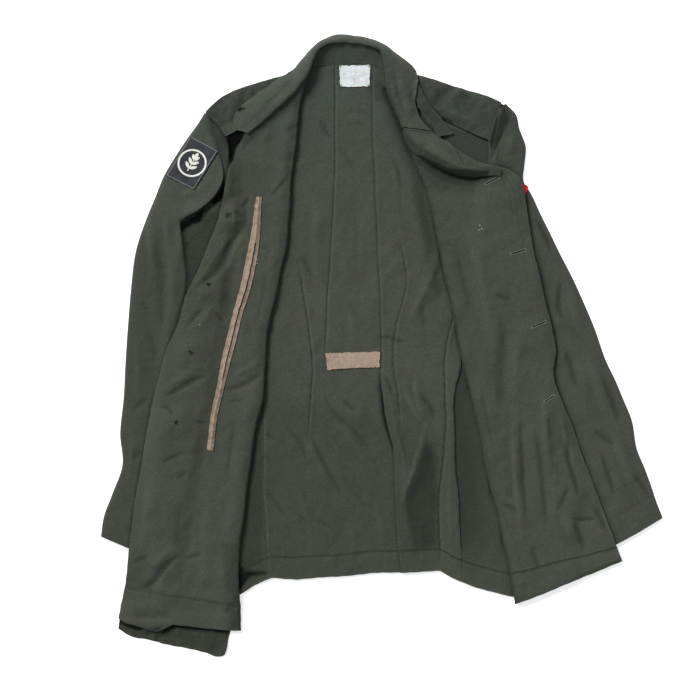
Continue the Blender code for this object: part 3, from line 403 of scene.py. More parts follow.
RIGHT_FRONT_CREASES = (
    (5, 0.2, -1.8, -134.3, 246.5, -153.1, 224.8, -166.2, 208.8),
    (5, 0, -1.8, -141.5, 305.9, -129.9, 313.2, -116.9, 319),
    (4, 0, -2, -189.4, 216, -196.6, 207.3, -203.9, 194.3),
    (4, 0, -0.9, -216.9, 195.8, -206.8, 191.4, -196.6, 184.2),
    (5.5, 0.3, -4.2, -198.1, 176.9, -215.5, 152.2, -231.4, 118.9, -244.5, 101.5, -269.1, 91.3),
    (9, 0.3, 2.4, -189.4, 179.8, -205.3, 150.8, -219.8, 116, -235.8, 92.8),
    (4, 0, -0.9, -180.7, 140.7, -160.4, 143.5),
    (5, 0.2, -2, -286.5, 23.2, -269.1, 42, -253.2, 58),
    (7, 0, 1.5, -274.9, 20.3, -254.6, 40.6, -240.1, 63.8),
    (3.5, 0, -1, -240.1, 52.2, -234.3, 42, -228.5, 31.9),
    (5, 0.35, -3.2, -318.4, -76.8, -289.4, -60.9, -267.7, -47.9, -244.5, -42),
    (9, 0.2, 1.8, -312.6, -60.9, -286.5, -46.4, -264.8, -31.9, -243, -26.1),
    (5.5, 0.35, -3.2, -232.9, -65.2, -203.9, -58, -185, -47.9, -164.7, -34.8),
    (9, 0.2, 2.8, -219.8, -44.9, -193.7, -33.4, -167.6, -17.4),
    (5, 0, -0.9, -225.6, -81.2, -198.1, -78.3),
    (4, 0, -1.4, -322.8, -87, -309.7, -88.5, -298.1, -103),
    (4, 0, -1, -272, -108.8, -250.3, -111.6),
    (4.5, 0.2, -1.6, -321.3, -169.7, -299.6, -159.5, -280.7, -152.2),
    (4.5, 0, -1, -298.1, -192.8, -276.4, -178.3),
    (5, 0.4, -3.6, -354.7, -356.7, -334.4, -343.6, -309, -316.1, -288, -297.2),
    (9, 0.3, 2.6, -360.5, -345.1, -340.2, -332.1, -317, -305.9, -295.2, -285.6),
    (4.5, 0, -1.4, -364.8, -314.6, -348.9, -307.4, -332.9, -301.6),
    (4.5, 0, -1, -286.5, -308.8, -256.1, -297.2),
    (6, 0, -2, -231.4, -387.1, -216.9, -377, -205.3, -368.3),
    (8, 0, 2, -221.3, -350.9, -214, -368.3, -208.2, -388.6),
    (6, 0, 3, -380.8, -392.9, -350.3, -398.8, -321.3, -398.8, -292.3, -395.8),
    (14, 0, 2.2, -335.8, -194.3, -341.6, -252.3, -350.3, -310.3),
    (14, 0, 1.8, -243, -179.8, -254.6, -252.3, -257.5, -324.8),
    (12, 0, -1.4, -286.5, -208.8, -295.2, -266.8, -298.1, -310.3),
    (16, 0, 1.8, -161.8, 327.7, -173.4, 269.7, -173.4, 233.4),
    (9, 0, 1.5, -196.6, 66.7, -205.3, 23.2, -205.3, -20.3),
    (8, 0, -1.2, -164.7, 121.8, -173.4, 66.7, -185, 15.9),
    (7, 0, -1.2, -208.2, -92.8, -219.8, -150.8, -225.6, -208.8),
)
LEFT_FRONT_CREASES = (
    (13, 0, -3, 177.5, 43.5, 173.9, 1.4, 171, -30.4, 168.8, -84.1),
    (12, 0, 2.2, 194.9, 23.2, 192, -34.8, 189.1, -92.8),
    (10, 0, -1.6, 160.1, 78.3, 174.6, 69.6, 190.5, 68.1),
    (4, 0, -1.6, 199.2, -78.3, 200.7, -136.3, 203.6, -194.3, 207.9, -266.8),
    (9, 0.2, 2.8, 189.1, -78.3, 190.5, -150.8, 196.3, -223.3, 202.1, -295.8),
    (9, 0.3, 3.4, 252.9, -84.1, 260.1, -113.1, 268.8, -145, 276.1, -179.8, 281.9, -211.7),
    (5.5, -0.2, -4.4, 265.9, -121.8, 271.7, -168.2, 280.4, -205.9, 281.9, -221.8),
    (5, 0, -2.6, 251.4, -242.2, 261.6, -218.9, 270.3, -198.7),
    (4, 0, -2.8, 271.7, -242.2, 276.8, -248.7, 293.5, -250.1, 313.8, -250.4),
    (4.5, 0.3, -3.2, 274.6, -247.9, 281.9, -265.3, 287.7, -282.8, 290.6, -297.2),
    (8, 0, 2.8, 258.7, -237.8, 267.4, -261, 276.1, -290),
    (4, 0, -1.6, 167.3, -224.8, 183.3, -232, 202.1, -240.7),
    (4.5, 0, -2.6, 247.1, 26.1, 252.9, 1.4, 250, -23.2, 241.3, -44.9),
    (4.5, 0.2, -2.6, 255.8, -43.5, 264.5, -74, 273.2, -108.8),
    (4, 0, -1.8, 239.8, -97.1, 241.3, -118.9, 242.7, -137.8),
    (4, 0, -1.8, 260.1, -113.1, 265.9, -124.7, 270.3, -139.2),
    (10, 0, 2.6, 231.1, -49.3, 234, -107.3, 241.3, -165.3, 247.1, -223.3),
    (9, 0, -2, 219.5, -107.3, 226.8, -165.3, 234, -223.3, 236.9, -281.3),
    (14, 0, 2.2, 116.6, 182.7, 134, 124.7, 148.5, 66.7, 155.7, 8.7),
    (12, 0, -1.6, 102.1, 153.7, 116.6, 95.7, 131.1, 37.7),
    (10, 0, -1.4, 139.8, -49.3, 151.4, -107.3, 161.5, -159.5),
    (12, 0, 1.8, 206.5, 182.7, 215.2, 121.8, 226.8, 66.7),
    (9, 0, -2.2, 303.6, -223.3, 316.7, -252.3, 325.4, -275.5),
    (8, 0, 2.2, 292, -179.8, 305.1, -216, 313.8, -243.6),
    (7, 0, -1.4, 215.2, -281.3, 221, -304.5, 229.7, -327.7),
)
RIGHT_SLEEVE_CREASES = (
    (7, 0, -2.4, -254.6, 320.4, -241.6, 298.7, -225.6, 269.7, -219.8, 259.6),
    (9, 0, 2.4, -244.5, 324.8, -231.4, 303.1, -222.7, 281.3),
    (10, 0.2, 3.6, -340.2, 201.5, -334.4, 136.3, -330, 89.9),
    (9, 0, -3.2, -332.9, 165.3, -321.3, 108.8, -319.1, 53.6, -314.1, 10.2, -308.3, -1.4),
    (9, 0, 3.2, -314.1, 188.5, -305.4, 121.8, -301, 55.1),
    (9, 0, -2.2, -340.2, 29, -331.5, 1.4, -324.2, -23.2),
    (10, 0, 2.8, -356.1, 23.2, -353.2, -37.7, -354.7, -92.8),
    (5, 0, -2.4, -361.9, -94.2, -348.9, -84.1, -335.8, -72.5),
    (5, 0, -1.8, -367.7, -168.2, -353.2, -158, -341.6, -149.3),
    (9, 0, 2.4, -361.9, -107.3, -361.9, -158, -370.6, -208.8),
    (5, 0, -1.6, -286.5, 232, -269.1, 243.6, -251.7, 255.2),
    (8, 0, 2.2, -298.1, 211.7, -274.9, 223.3, -254.6, 237.8),
    (5, 0, -1.6, -350.3, 66.7, -341.6, 55.1, -332.9, 49.3),
    (5, 0, -1.8, -298.1, 34.8, -303.9, 8.7, -312.6, -14.5),
)
LEFT_SLEEVE_CREASES = (
    (5.5, 0.2, -3.2, 219.5, 188.5, 229.7, 171.1, 236.9, 155.2, 244.2, 133.4),
    (9, 0, 2.2, 229.7, 191.4, 244.2, 159.5, 255.8, 130.5),
    (7, 0, -2.8, 261.6, 101.5, 255.1, 74, 256.5, 47.9, 267.4, 34.8),
    (10, 0, 2.6, 273.2, 89.9, 276.1, 52.2, 287.7, 14.5),
    (10, 0, -3, 264.5, 2.9, 273.2, -34.8, 283.3, -66.7),
    (12, 0, 3, 294.9, -5.8, 310.9, -56.5, 325.4, -107.3),
    (8, 0, -1.8, 316.7, -37.7, 334.1, -84.1, 345.7, -121.8),
    (5, 0, -1.8, 302.2, -118.9, 322.5, -133.4, 342.8, -145),
    (10, 0, 2.6, 334.1, -124.7, 351.5, -174, 366, -214.6),
    (7, 0, -2.4, 313.8, -145, 326.8, -185.6, 338.4, -223.3),
    (5, 0, -1.6, 183.3, 323.3, 170.2, 295.8, 155.7, 261),
    (8, 0, 2.2, 192, 316.1, 183.3, 284.2, 171.7, 258.1),
    (5, 0, -1.4, 360.2, -179.8, 374.7, -200.1, 389.2, -223.3),
)
RIGHT_YOKE_CREASES = (
    (7, 0, -2, -205.3, 368.3, -201, 348, -205.3, 321.9),
    (8, 0, 1.8, -222.7, 359.6, -219.8, 339.3, -222.7, 319),
)
LEFT_YOKE_CREASES = (
    (4, 0.4, -3, 73.1, 348, 84.7, 332.1, 102.1, 321.2, 129.6, 308.8, 152.8, 297.2),
    (9, 0, 3.6, 78.9, 356.7, 99.2, 337.8, 128.2, 323.3, 154.3, 311.8),
    (8, 0, 2, 96.3, 298.7, 116.6, 295.8, 142.7, 284.2),
)
COLLAR_CREASES = (
    (4, 0, -0.9, -76.3, 439.3, -53.1, 437.9, -22.6, 432.1, 0.6, 423.4),
    (4, 0, -0.8, 13.6, 414.7, 18, 379.9, 26.7, 350.9, 35.4, 321.9),
    (5, 0, 0.9, 22.3, 406, 28.1, 368.3, 39.7, 330.6),
    (4, 0, -0.8, -129.9, 381.3, -153.1, 359.6, -182.1, 339.3),
    (4, 0, -0.7, -147.3, 362.5, -167.6, 342.2, -190.8, 324.8),
)
LAPEL_CREASES = (
    (4, 0.2, -1.8, 45.5, 290, 67.3, 274.8, 80.3, 265.3, 106.4, 256.6),
    (4, 0, -1.3, 51.3, 284.2, 61.5, 290.7, 73.1, 284.2),
    (7, 0, 1.4, 44.1, 301.6, 64.4, 290, 90.5, 275.5, 116.6, 263.9),
)

# Painted shade, mostly shadows in deep places; a few broad, faint rows darken a whole region.
# Strength, soft edge, then the corners of each
BACK_SHADOWS = (
    (0.8, 2.2, 3, 380, 8, 371, 17, 347, 28, 326, 30, 315, 37, 298, 46, 280, 48, 270, 43, 278, 34, 296,
     26, 313, 23, 324, 13, 345, 4, 370),
    (0.12, 6, 93, -107, 112, -107, 112, -293, 93, -293),
    (0.62, 5, -1, 380, 7, 371, 16, 346, 27, 325, 30, 315, 37, 297, 47, 277, 50, 261, 40, 270, 28, 294,
     18, 319, 8, 345, -2, 368),
    (0.28, 14, -8, 380, 7, 371, 27, 325, 50, 261, 67, 212, 53, 218, 24, 284, 4, 336),
    (0.5, 14, 62, -122, 80, -160, 83, -223, 79, -289, 47, -304, 32, -238, 43, -191, 54, -154),
    (0.14, 30, -173, -78, -60, -93, 56, -107, 82, -136, 82, -339, -173, -354),
    (0.4, 10, 44, 290, 62, 226, 79, 145, 67, 122, 47, 212),
    (0.3, 14, -118, 328, -104, 371, -101, 392, -118, 392, -133, 342),
    (0.42, 8, 30, 328, 41, 299, 56, 255, 47, 232, 32, 284),
    (0.4, 8, -162, -38, -172, -122, -172, -319, -205, -329, -197, -165, -179, -78),
    (0.16, 16, -173, -136, -153, -180, -153, -310, -173, -328),
    (0.35, 9, 80, 130, 90, 81, 79, 67, 67, 90),
    (0.9, 4.5, -208, -315, -197, -324, -179, -326, -164, -327, -168, -331, -191, -335, -198, -345, -208,
     -357),
)
RIGHT_FRONT_SHADOWS = (
    (0.35, 8, -118, 351, -159, 319, -191, 296, -201, 284, -197, 300, -165, 326, -124, 361),
    (0.99, 2, -226, 303, -213, 315, -208, 319, -197, 307, -204, 293, -211, 283, -214, 267, -221, 261,
     -226, 284),
    (0.3, 9, -231, -283, -205, -283, -202, -415, -220, -409),
    (0.45, 4, -202, 171, -231, 116, -252, 93, -269, 84, -256, 103, -231, 139),
    (0.25, 9, -124, 328, -131, 241, -142, 241, -137, 313),
)
LEFT_FRONT_SHADOWS = (
    (0.8, 5, 53, 273, 73, 264, 96, 254, 122, 249, 156, 249, 153, 241, 128, 237, 99, 241, 73, 254, 56,
     265),
    (0.5, 9, 32, 287, 53, 273, 85, 258, 128, 248, 157, 246, 153, 236, 125, 230, 93, 233, 62, 251, 46,
     264),
    (0.26, 16, 44, 270, 85, 246, 151, 235, 128, 220, 85, 223, 53, 244),
    (0.45, 2.4, 43, 262, 57, 242, 60, 235, 54, 241, 42, 260),
    (0.3, 10, 169, 44, 179, 1, 176, -78, 166, -84, 163, -20),
    (0.3, 9, 246, -84, 248, -136, 243, -194, 238, -136),
)
RIGHT_SLEEVE_SHADOWS = (
    (0.17, 30, -423, 139, -263, 154, -278, -78, -307, -325, -437, -325),
    (0.99, 1.6, -226, 238, -236, 220, -246, 207, -242, 203, -231, 209, -226, 219),
    (0.99, 1.6, -255, 201, -260, 196, -271, 186, -286, 178, -292, 183, -291, 171, -289, 162, -282, 169,
     -274, 175, -261, 178, -258, 184),
    (0.6, 6, -226, 235, -246, 212, -259, 197, -291, 184, -289, 157, -278, 168, -258, 178, -244, 199,
     -226, 212),
    (0.4, 9, -291, 160, -289, 122, -284, 110, -286, 78, -272, 93, -255, 128, -231, 177, -226, 215, -258,
     181),
    (0.6, 1.6, -245, 194, -249, 180, -255, 171, -263, 162, -276, 152, -286, 143, -287, 146, -277, 154,
     -265, 164, -257, 172, -251, 181, -247, 194),
    (0.55, 4, -236, 186, -240, 170, -250, 145, -255, 148, -246, 168, -240, 187),
    (0.99, 2, -225, 304, -213, 319, -204, 304, -204, 293, -214, 283, -216, 267, -220, 252, -221, 273,
     -221, 296),
    (0.4, 5, -253, 339, -242, 325, -226, 303, -223, 255, -236, 273, -247, 307),
    (0.72, 2, -253, 338, -243, 326, -233, 319, -223, 302, -227, 302, -239, 318, -247, 323),
)
LEFT_SLEEVE_SHADOWS = (
    (0.45, 6, 176, 348, 185, 325, 172, 299, 156, 264, 153, 276, 162, 304, 166, 328),
    (0.7, 2.6, 170, 349, 164, 332, 158, 313, 154, 297, 158, 281, 162, 294, 167, 322),
)
RIGHT_YOKE_SHADOWS = (
    (0.45, 7, -192, 377, -201, 354, -208, 339, -214, 325, -223, 328, -211, 357),
    (0.9, 2, -206, 344, -196, 342, -201, 338, -206, 334, -208, 341),
    (0.15, 20, -256, 336, -181, 380, -118, 406, -118, 374, -204, 339, -226, 299),
)
LEFT_YOKE_SHADOWS = (
    (0.22, 20, 5, 399, 51, 390, 109, 371, 176, 349, 156, 281, 85, 284, 48, 328),
    (0.8, 2.4, 72, 349, 85, 335, 102, 326, 105, 319, 90, 326, 74, 342),
)
UNDERHEM_SHADOWS = (
    (0.85, 2.4, -384, -393, -371, -397, -355, -403, -342, -409, -343, -413, -359, -412, -374, -406, -384,
     -403),
    (0.85, 3, -321, -418, -313, -403, -298, -400, -263, -403, -214, -409, -217, -416, -243, -415, -278,
     -410, -298, -409, -313, -416),
    (0.38, 14, -391, -389, -205, -406, -211, -458, -263, -452, -321, -441, -391, -420),
)
COLLAR_SHADOWS = (
    (0.92, 1.6, -208, 344, -203, 344, -196, 342, -201, 339, -208, 336),
    (0.4, 4, 4, 418, 8, 380, 22, 341, 34, 313, 43, 284, 37, 290, 25, 316, 14, 348, 2, 386, -1, 418),
)
COLLAR_POINT_SHADOWS = (
    (0.25, 12, 44, 386, 108, 307, 70, 299, 41, 357),
    (0.45, 4, 50, 386, 54, 331, 70, 304, 64, 304, 48, 328, 44, 380),
)
LAPEL_SHADOWS = (
    (0.42, 3, 134, 258, 175, 258, 175, 241, 134, 235),
    (0.46, 4, 30, 319, 46, 294, 54, 287, 71, 277, 89, 268, 101, 261, 115, 256, 157, 256, 154, 235, 114,
     235, 80, 246, 38, 270),
    (0.82, 5, 53, 278, 70, 270, 85, 262, 98, 257, 122, 254, 156, 253, 153, 235, 114, 235, 80, 244, 50,
     264),
)
# Dip of the front's hem edge under its straight line, at each place across; how far up it fades
HEM_WAVE = (
    (-380, 1.6), (-369.2, -3.2), (-352.5, -6.5), (-341.6, -10), (-332.9, -11.5), (-324.2, -12),
    (-314.1, -7), (-301, 0.6), (-278.1, 0.7), (-261.9, -0.6), (-228.5, -1), (-210.5, -0.7),
)
HEM_WAVE_REACH = 20.0
# Of each front: paler free edge and paler fold with wear, painted shade on the fold, painted shade along
# the top of the hem
EDGE_WEAR_AND_SHADE = {
    "right_front": (0.40, 0.0, 0.18, 0.28),
    "left_front": (0.65, 0.0, 0.12, 0.66),
}

# Sewn lines of the fronts
LEFT_FOLD_LINE = (128.2, -55.1, 139.8, -95.7, 148.5, -136.3, 154.3, -176.9, 159.1, -201.5,
                  168.3, -222.6, 177.8, -248.7,
                  190.8, -285.6, 203.6, -329.1)
LEFT_CORNER_LINES = (
    (172.7, 249.4, 178.9, 241.4, 183.3, 233.4, 187.6, 224.8, 192, 205.9, 196.3, 179.8, 203.6, 145),
    (167.3, 242.2, 176, 234.9, 179.9, 226.2, 183.3, 214.6, 187.6, 188.5),
)
RIGHT_NECK_LINE = (-116.9, 358.1, -131.4, 349.4, -163.3, 321.9, -185, 303.1, -201, 282.8)
BUTTONHOLES = (
    (149.2, 232.7, 169.5, 243.6),
    (185.6, 132.5, 207.6, 138.2),
    (216, 26.8, 236.6, 35.5),
    (234, -80.5, 248.8, -71.5),
)
HOLE_HALF = 1.05
HOLE_EYE = 1.65
SLIT_HALF = (0.95, 1.5)
KNOTS = (-221.3, 188.5, -248.8, 88.5, -274.9, -8.7, -296.7, -110.2)
WHITE_DOTS = (
    ("right_front", -179.2, 124), ("right_front", -179.9, 118.9), ("left_front", 141.2, 173.3),
    ("left_front", 143.4, 168.2), ("left_front", 139.8, 166.8), ("right_front", -261.9, 30.4),
    ("right_sleeve", -379.3, 197.2),
)
RIGHT_CUFF_LINES = ((-389.5, -214.6, -373.5, -219.7, -354.7, -227.7),
                    (-401.1, -247.9, -385.1, -253.8, -364.8, -263.9))
LEFT_CUFF_LINES = (
    (308, -227.7, 325.4, -217.5, 342.8, -206.6, 361.6, -196.5, 383.4, -184.2),
    (322.5, -253.8, 342.8, -242.2, 366, -229.1, 397.9, -211.7),
)
ARMPIT_SEAM = (-250.3, 201.5, -253.2, 179.8, -266.2, 159.5, -285.1, 145)
LAPEL_SEAM = (26.7, 320.4, 33.9, 316.1, 49.9, 310.3, 67.3, 308.3, 80.3, 301.6)
RAW_EDGE = (-346, -410.3, -318.4, -404.6)
# Motif of the sleeve patch: radius of its ring, then the foot, angle and length of each leaf
MOTIF_RADIUS = 19.5
LEAVES = ((9.0, 38.0, 11.5), (9.0, 142.0, 11.5), (2.0, 44.0, 11.0), (2.0, 136.0, 11.0), (-5.0, 54.0, 9.0),
          (-5.0, 126.0, 9.0), (-9.0, 90.0, 8.0))
TAPE_SPLIT = (0.18, 0.72)
TAPE_JOINS = (0.42, 0.88)


def table(rows):
    return np.array(rows, dtype=float)


def course_of(flat):
    """A flat run of x, y numbers as points."""
    return table(flat).reshape(-1, 2)


LABEL_CORNER = course_of(NECK_LABEL).min(axis=0)
SHIFT = np.array([*(LABEL_CORNER - np.array(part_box("neck_label")[0])[:2] / MM), 0.0])


# Sizes and colours ----------


class ShirtSizes(bpy.types.PropertyGroup):
    wall: bpy.props.FloatProperty(
        name="Cloth", description="Thickness of one layer of cloth", default=0.0014,
        min=0.0005, max=0.004, unit="LENGTH")
    pitch: bpy.props.FloatProperty(
        name="Point spacing", description="Distance between the points of a sheet", default=0.0025,
        min=0.0015, max=0.02, unit="LENGTH")
    crease: bpy.props.FloatProperty(
        name="Creases", description="Depth of the creases, as a share of the worn shirt's",
        default=1.0, min=0.0, max=1.5, subtype="FACTOR")
    stitch: bpy.props.FloatProperty(
        name="Stitch", description="Length of one stitch with its gap", default=0.0034,
        min=0.002, max=0.008, unit="LENGTH")
    thread: bpy.props.FloatProperty(
        name="Thread", description="Thickness of the sewing thread", default=0.0007,
        min=0.0003, max=0.002, unit="LENGTH")


def colour_of(name, note, default):
    return bpy.props.FloatVectorProperty(
        name=name, description=note, default=default, min=0.0, max=1.0, size=3, subtype="COLOR")


class ShirtColours(bpy.types.PropertyGroup):
    cloth: colour_of("Cloth", "Olive drab cotton", (0.0555, 0.0612, 0.0535))
    tape: colour_of("Tape", "Tan tape and waist patch", (0.365, 0.275, 0.208))
    label: colour_of("Label", "Woven neck label", (0.70, 0.735, 0.74))
    patch: colour_of("Patch", "Slate patch on the sleeve", (0.036, 0.038, 0.044))
    motif: colour_of("Motif", "Embroidery on the slate patch", (0.80, 0.80, 0.74))
    red: colour_of("Red patch", "Patch on the other sleeve", (0.68, 0.012, 0.022))
    thread: colour_of("Thread", "Sewing thread", (0.026, 0.029, 0.024))
    pale: colour_of("Pale thread", "Thread of the buttonholes", (0.24, 0.27, 0.255))
    knot: colour_of("Knots", "Thread knots behind the buttons", (0.010, 0.012, 0.010))
    button: colour_of("Buttons", "Moulded buttons", (0.030, 0.032, 0.026))


def sizes():
    return bpy.context.scene.shirt_sizes


def colours():
    return bpy.context.scene.shirt_colours


def wall():
    return sizes().wall / MM


def pitch():
    return sizes().pitch / MM


# How cloth lies ----------


def section_steps(rows):
    """Distances between the middles of a table's sections."""
    return np.hypot(*((np.diff(rows[:, 0:2], axis=0) + np.diff(rows[:, 2:4], axis=0)) / 2).T)


def along(rows, count):
    """The rows of a table as a smooth course, at count places that are evenly far apart."""
    rows = table(rows)
    place = np.concatenate([[0.0], np.cumsum(section_steps(rows))])
    wanted = np.linspace(0.0, place[-1], count)
    slope = np.gradient(rows, place, axis=0)
    below = np.clip(np.searchsorted(place, wanted, side="right") - 1, 0, len(place) - 2)
    span = (place[below + 1] - place[below])[:, None]
    t = ((wanted - place[below])[:, None]) / span
    start = (2 * t**3 - 3 * t**2 + 1) * rows[below] + (t**3 - 2 * t**2 + t) * span * slope[below]
    end = (3 * t**2 - 2 * t**3) * rows[below + 1] + (t**3 - t**2) * span * slope[below + 1]
    return start + end


def length_of(rows):
    return float(section_steps(table(rows)).sum())


def mean_width(first, second):
    """Mean distance between two edges."""
    return np.linalg.norm(second - first, axis=1).mean()


def unit(vectors):
    return vectors / np.maximum(np.linalg.norm(vectors, axis=-1, keepdims=True), 1e-9)


def sideways(line, closed=False):
    """Unit steps to the left of a course."""
    slope = np.gradient(line, axis=0)
    if closed:
        slope[0] = slope[-1] = (line[1] - line[-2]) / 2
    slope = unit(slope)
    return np.column_stack([-slope[:, 1], slope[:, 0]])


def fading(distance, reach, power=2):
    """1 on a line, falling to nothing well past the reach from it."""
    return np.exp(-((distance / reach) ** power))


def smooth_course(flat, step):
    """A course of x, y points, smoothed and sampled each step."""
    points = course_of(flat)
    rows = np.concatenate([points, points], axis=1)
    count = max(3, int(length_of(rows) / step) + 1)
    return along(rows, count)[:, :2]


def course(pairs, at):
    """The second number of a table of pairs, at the first number."""
    pairs = table(pairs)
    order = np.argsort(pairs[:, 0])
    return np.interp(at, pairs[order, 0], pairs[order, 1])


def spread(first, second, places):
    """Points on straight lines from first to second, at the given shares of each line."""
    t = np.asarray(places)[None, :, None]
    return first[:, None, :] * (1.0 - t) + second[:, None, :] * t


def closer(width, coarse):
    """Shares of a width with extra points beside the seams at both ends. coarse widens the rest."""
    end = BESIDE_SEAM[-1]
    inner = np.linspace(end, width - end, max(3, int((width - 2 * end) / pitch() / coarse) + 1))[1:-1]
    inside = np.concatenate([BESIDE_SEAM, inner, width - np.array(BESIDE_SEAM[::-1])]) / width
    return np.concatenate([[0.0], inside, [1.0]])


def sampled(grid, count):
    """A grid of numbers, sampled count times each way inside each cell."""
    t = (np.arange(count) + 0.5) / count
    s, r = t[None, None, None, :], t[None, None, :, None]
    a, b = grid[:-1, :-1, None, None], grid[:-1, 1:, None, None]
    c, d = grid[1:, 1:, None, None], grid[1:, :-1, None, None]
    return (a * (1 - s) + b * s) * (1 - r) + (d * (1 - s) + c * s) * r


def windowed(field, reach, combine):
    """Each cell combined with those within reach of it, along both axes."""
    for axis in (0, 1):
        field = combine([np.roll(field, step, axis) for step in range(-reach, reach + 1)])
    return field


class Pile:
    """Height of the cloth that is laid so far, cell by cell."""

    def __init__(self):
        side = int(FIELD / CELL)
        self.top = np.zeros((side, side))

    def add(self, x, y, top, keep=None):
        size = max(np.abs(np.diff(x, axis=1)).max(), np.abs(np.diff(y, axis=0)).max())
        count = max(SAMPLES, int(math.ceil(size / CELL * 1.5)))
        x, y, top = sampled(x, count), sampled(y, count), sampled(top, count)
        if keep is not None:
            x, y, top = x[keep], y[keep], top[keep]
        last = self.top.shape[0] - 1
        column = np.clip((x + FIELD / 2) / CELL, 0, last).astype(int)
        row = np.clip((y + FIELD / 2) / CELL, 0, last).astype(int)
        np.maximum.at(self.top, (row, column), top)

    def read(self, x, y, field=None):
        field = self.top if field is None else field
        last = field.shape[0] - 1.001
        column = np.clip((x + FIELD / 2) / CELL - 0.5, 0, last)
        row = np.clip((y + FIELD / 2) / CELL - 0.5, 0, last)
        c, r = column.astype(int), row.astype(int)
        s, t = column - c, row - r
        low = field[r, c] * (1 - s) + field[r, c + 1] * s
        high = field[r + 1, c] * (1 - s) + field[r + 1, c + 1] * s
        return low * (1 - t) + high * t

    def at(self, x, y):
        return float(self.read(np.array([x]), np.array([y]))[0])

    def rest(self, x, y, gap=LAY_GAP, reach=6.0):
        """Height at which a sheet rests on the pile: it bridges what is narrower than its reach."""
        cells = max(1, int(round(reach / CELL)))
        high = np.where(self.top > 0.0, self.top + gap, 0.0)
        high = windowed(high, cells, np.maximum.reduce)
        high = windowed(high, cells, lambda layers: np.mean(layers, axis=0))
        return self.read(x, y, high)


PILE = Pile()
LAID = {}
SEWN = {}
STITCHES = {}


def from_line(x, y, points):
    """Distance of each place from a course, its share of the course, and its side (1 is the left)."""
    steps = np.hypot(*np.diff(points, axis=0).T)
    place = np.concatenate([[0.0], np.cumsum(steps)])
    near = np.full(x.shape, np.inf)
    at = np.zeros(x.shape)
    side = np.zeros(x.shape)
    for (x0, y0), (x1, y1), start, step in zip(points[:-1], points[1:], place, steps):
        ux, uy = (x1 - x0) / step, (y1 - y0) / step
        forward = np.clip((x - x0) * ux + (y - y0) * uy, 0.0, step)
        away = np.hypot(x - x0 - forward * ux, y - y0 - forward * uy)
        nearer = away < near
        near = np.where(nearer, away, near)
        at = np.where(nearer, start + forward, at)
        side = np.where(nearer, np.sign((y - y0) * ux - (x - x0) * uy), side)
    return near, at / place[-1], side


def creases(x, y, rows):
    """Rise of the creases at x, y: sharp along their course, with soft shoulders."""
    total = np.zeros_like(x)
    for half_width, lean, rise, *flat in rows:
        points = smooth_course(flat, 6.0)
        reach = half_width * 3.4
        box = ((x > points[:, 0].min() - reach) & (x < points[:, 0].max() + reach)
               & (y > points[:, 1].min() - reach) & (y < points[:, 1].max() + reach))
        if not box.any():
            continue
        near, share, side = from_line(x[box], y[box], points)
        taper = np.clip(CREASE_TAPER * np.minimum(share, 1.0 - share), 0.0, 1.0)
        taper = taper * taper * (3.0 - 2.0 * taper)
        width = half_width * (1.0 + lean * side) * (0.6 + 0.4 * taper)
        core = fading(near, np.maximum(CREASE_CORE * width, CORE_LEAST), 1.3)
        shoulder = fading(near, 1.25 * width, 1.7)
        total[box] += rise * taper * (0.58 * core + 0.46 * shoulder)
    return total


def turned(x, y, degrees):
    """Places measured along a direction and to its left."""
    turn = math.radians(degrees)
    return x * math.cos(turn) + y * math.sin(turn), y * math.cos(turn) - x * math.sin(turn)


def ruffle(x, y, seed, rise, lie=90.0, spacing=38.0):
    """Worn cloth: flat facets that meet in faint folds, which come and go, with short nips between."""
    random = np.random.default_rng(seed)
    low_x, high_x, low_y, high_y = x.min(), x.max(), y.min(), y.max()
    total = np.zeros_like(x)
    for size, share in ((2.3 * spacing, 2.2), (1.3 * spacing, 1.4), (0.7 * spacing, 0.8)):
        for _ in range(3):
            u, v = turned(x, y, random.normal(lie, 38.0))
            first, second, third, fourth = random.uniform(0.0, 2 * math.pi, 4)
            bend = 0.40 * np.sin(u / size / 0.45 + first)
            bend = bend + 0.22 * np.sin((u + 0.6 * v) / size / 0.23 + second)
            wave = v / size + bend
            facet = 2.0 * np.abs(2.0 * (wave - np.floor(wave + 0.5))) - 1.0
            comes = 0.45 + np.sin(u / size / 0.8 + third) * np.sin(v / size / 0.6 + fourth)
            total += rise * share * facet * np.clip(comes, 0.0, 1.0)
    area = (high_x - low_x) * (high_y - low_y)
    for _ in range(int(1.1 * area / spacing**2)):
        cx, cy = random.uniform(low_x, high_x), random.uniform(low_y, high_y)
        way = random.normal(lie, 40.0)
        long, wide = random.uniform(7.0, 24.0), random.uniform(1.7, 3.0)
        high = random.normal(0.0, 0.9 * rise)
        near = (np.abs(x - cx) < 2.0 * long) & (np.abs(y - cy) < 2.0 * long)
        u, v = turned(x[near] - cx, y[near] - cy, way)
        v -= 0.012 * u**2
        total[near] += high * np.exp(-((u / long) ** 2) - np.abs(v / wide) ** 1.3)
    return total


def wander(x, y):
    """Cut edges and seams are never quite straight: the same small waves draw every sheet askew."""
    across = 0.42 * np.sin(y / 2.9 + 2.0 * np.sin(x / 23.0)) + 0.9 * np.sin(y / 13.0 + x / 31.0 + 1.3)
    down = 0.42 * np.sin(x / 3.1 + 2.0 * np.sin(y / 27.0)) + 0.9 * np.sin(x / 14.0 + y / 29.0 + 0.4)
    return x + WANDER * across, y + WANDER * down


def softened(field, reach):
    """A grid of numbers, each the mean of those within reach."""
    for axis in (0, 1):
        ends = [(reach + 1, reach) if i == axis else (0, 0) for i in (0, 1)]
        total = np.cumsum(np.pad(field, ends, mode="edge"), axis=axis)
        width, count = 2 * reach + 1, total.shape[axis]
        after, before = range(width, count), range(count - width)
        field = (np.take(total, after, axis) - np.take(total, before, axis)) / width
    return field


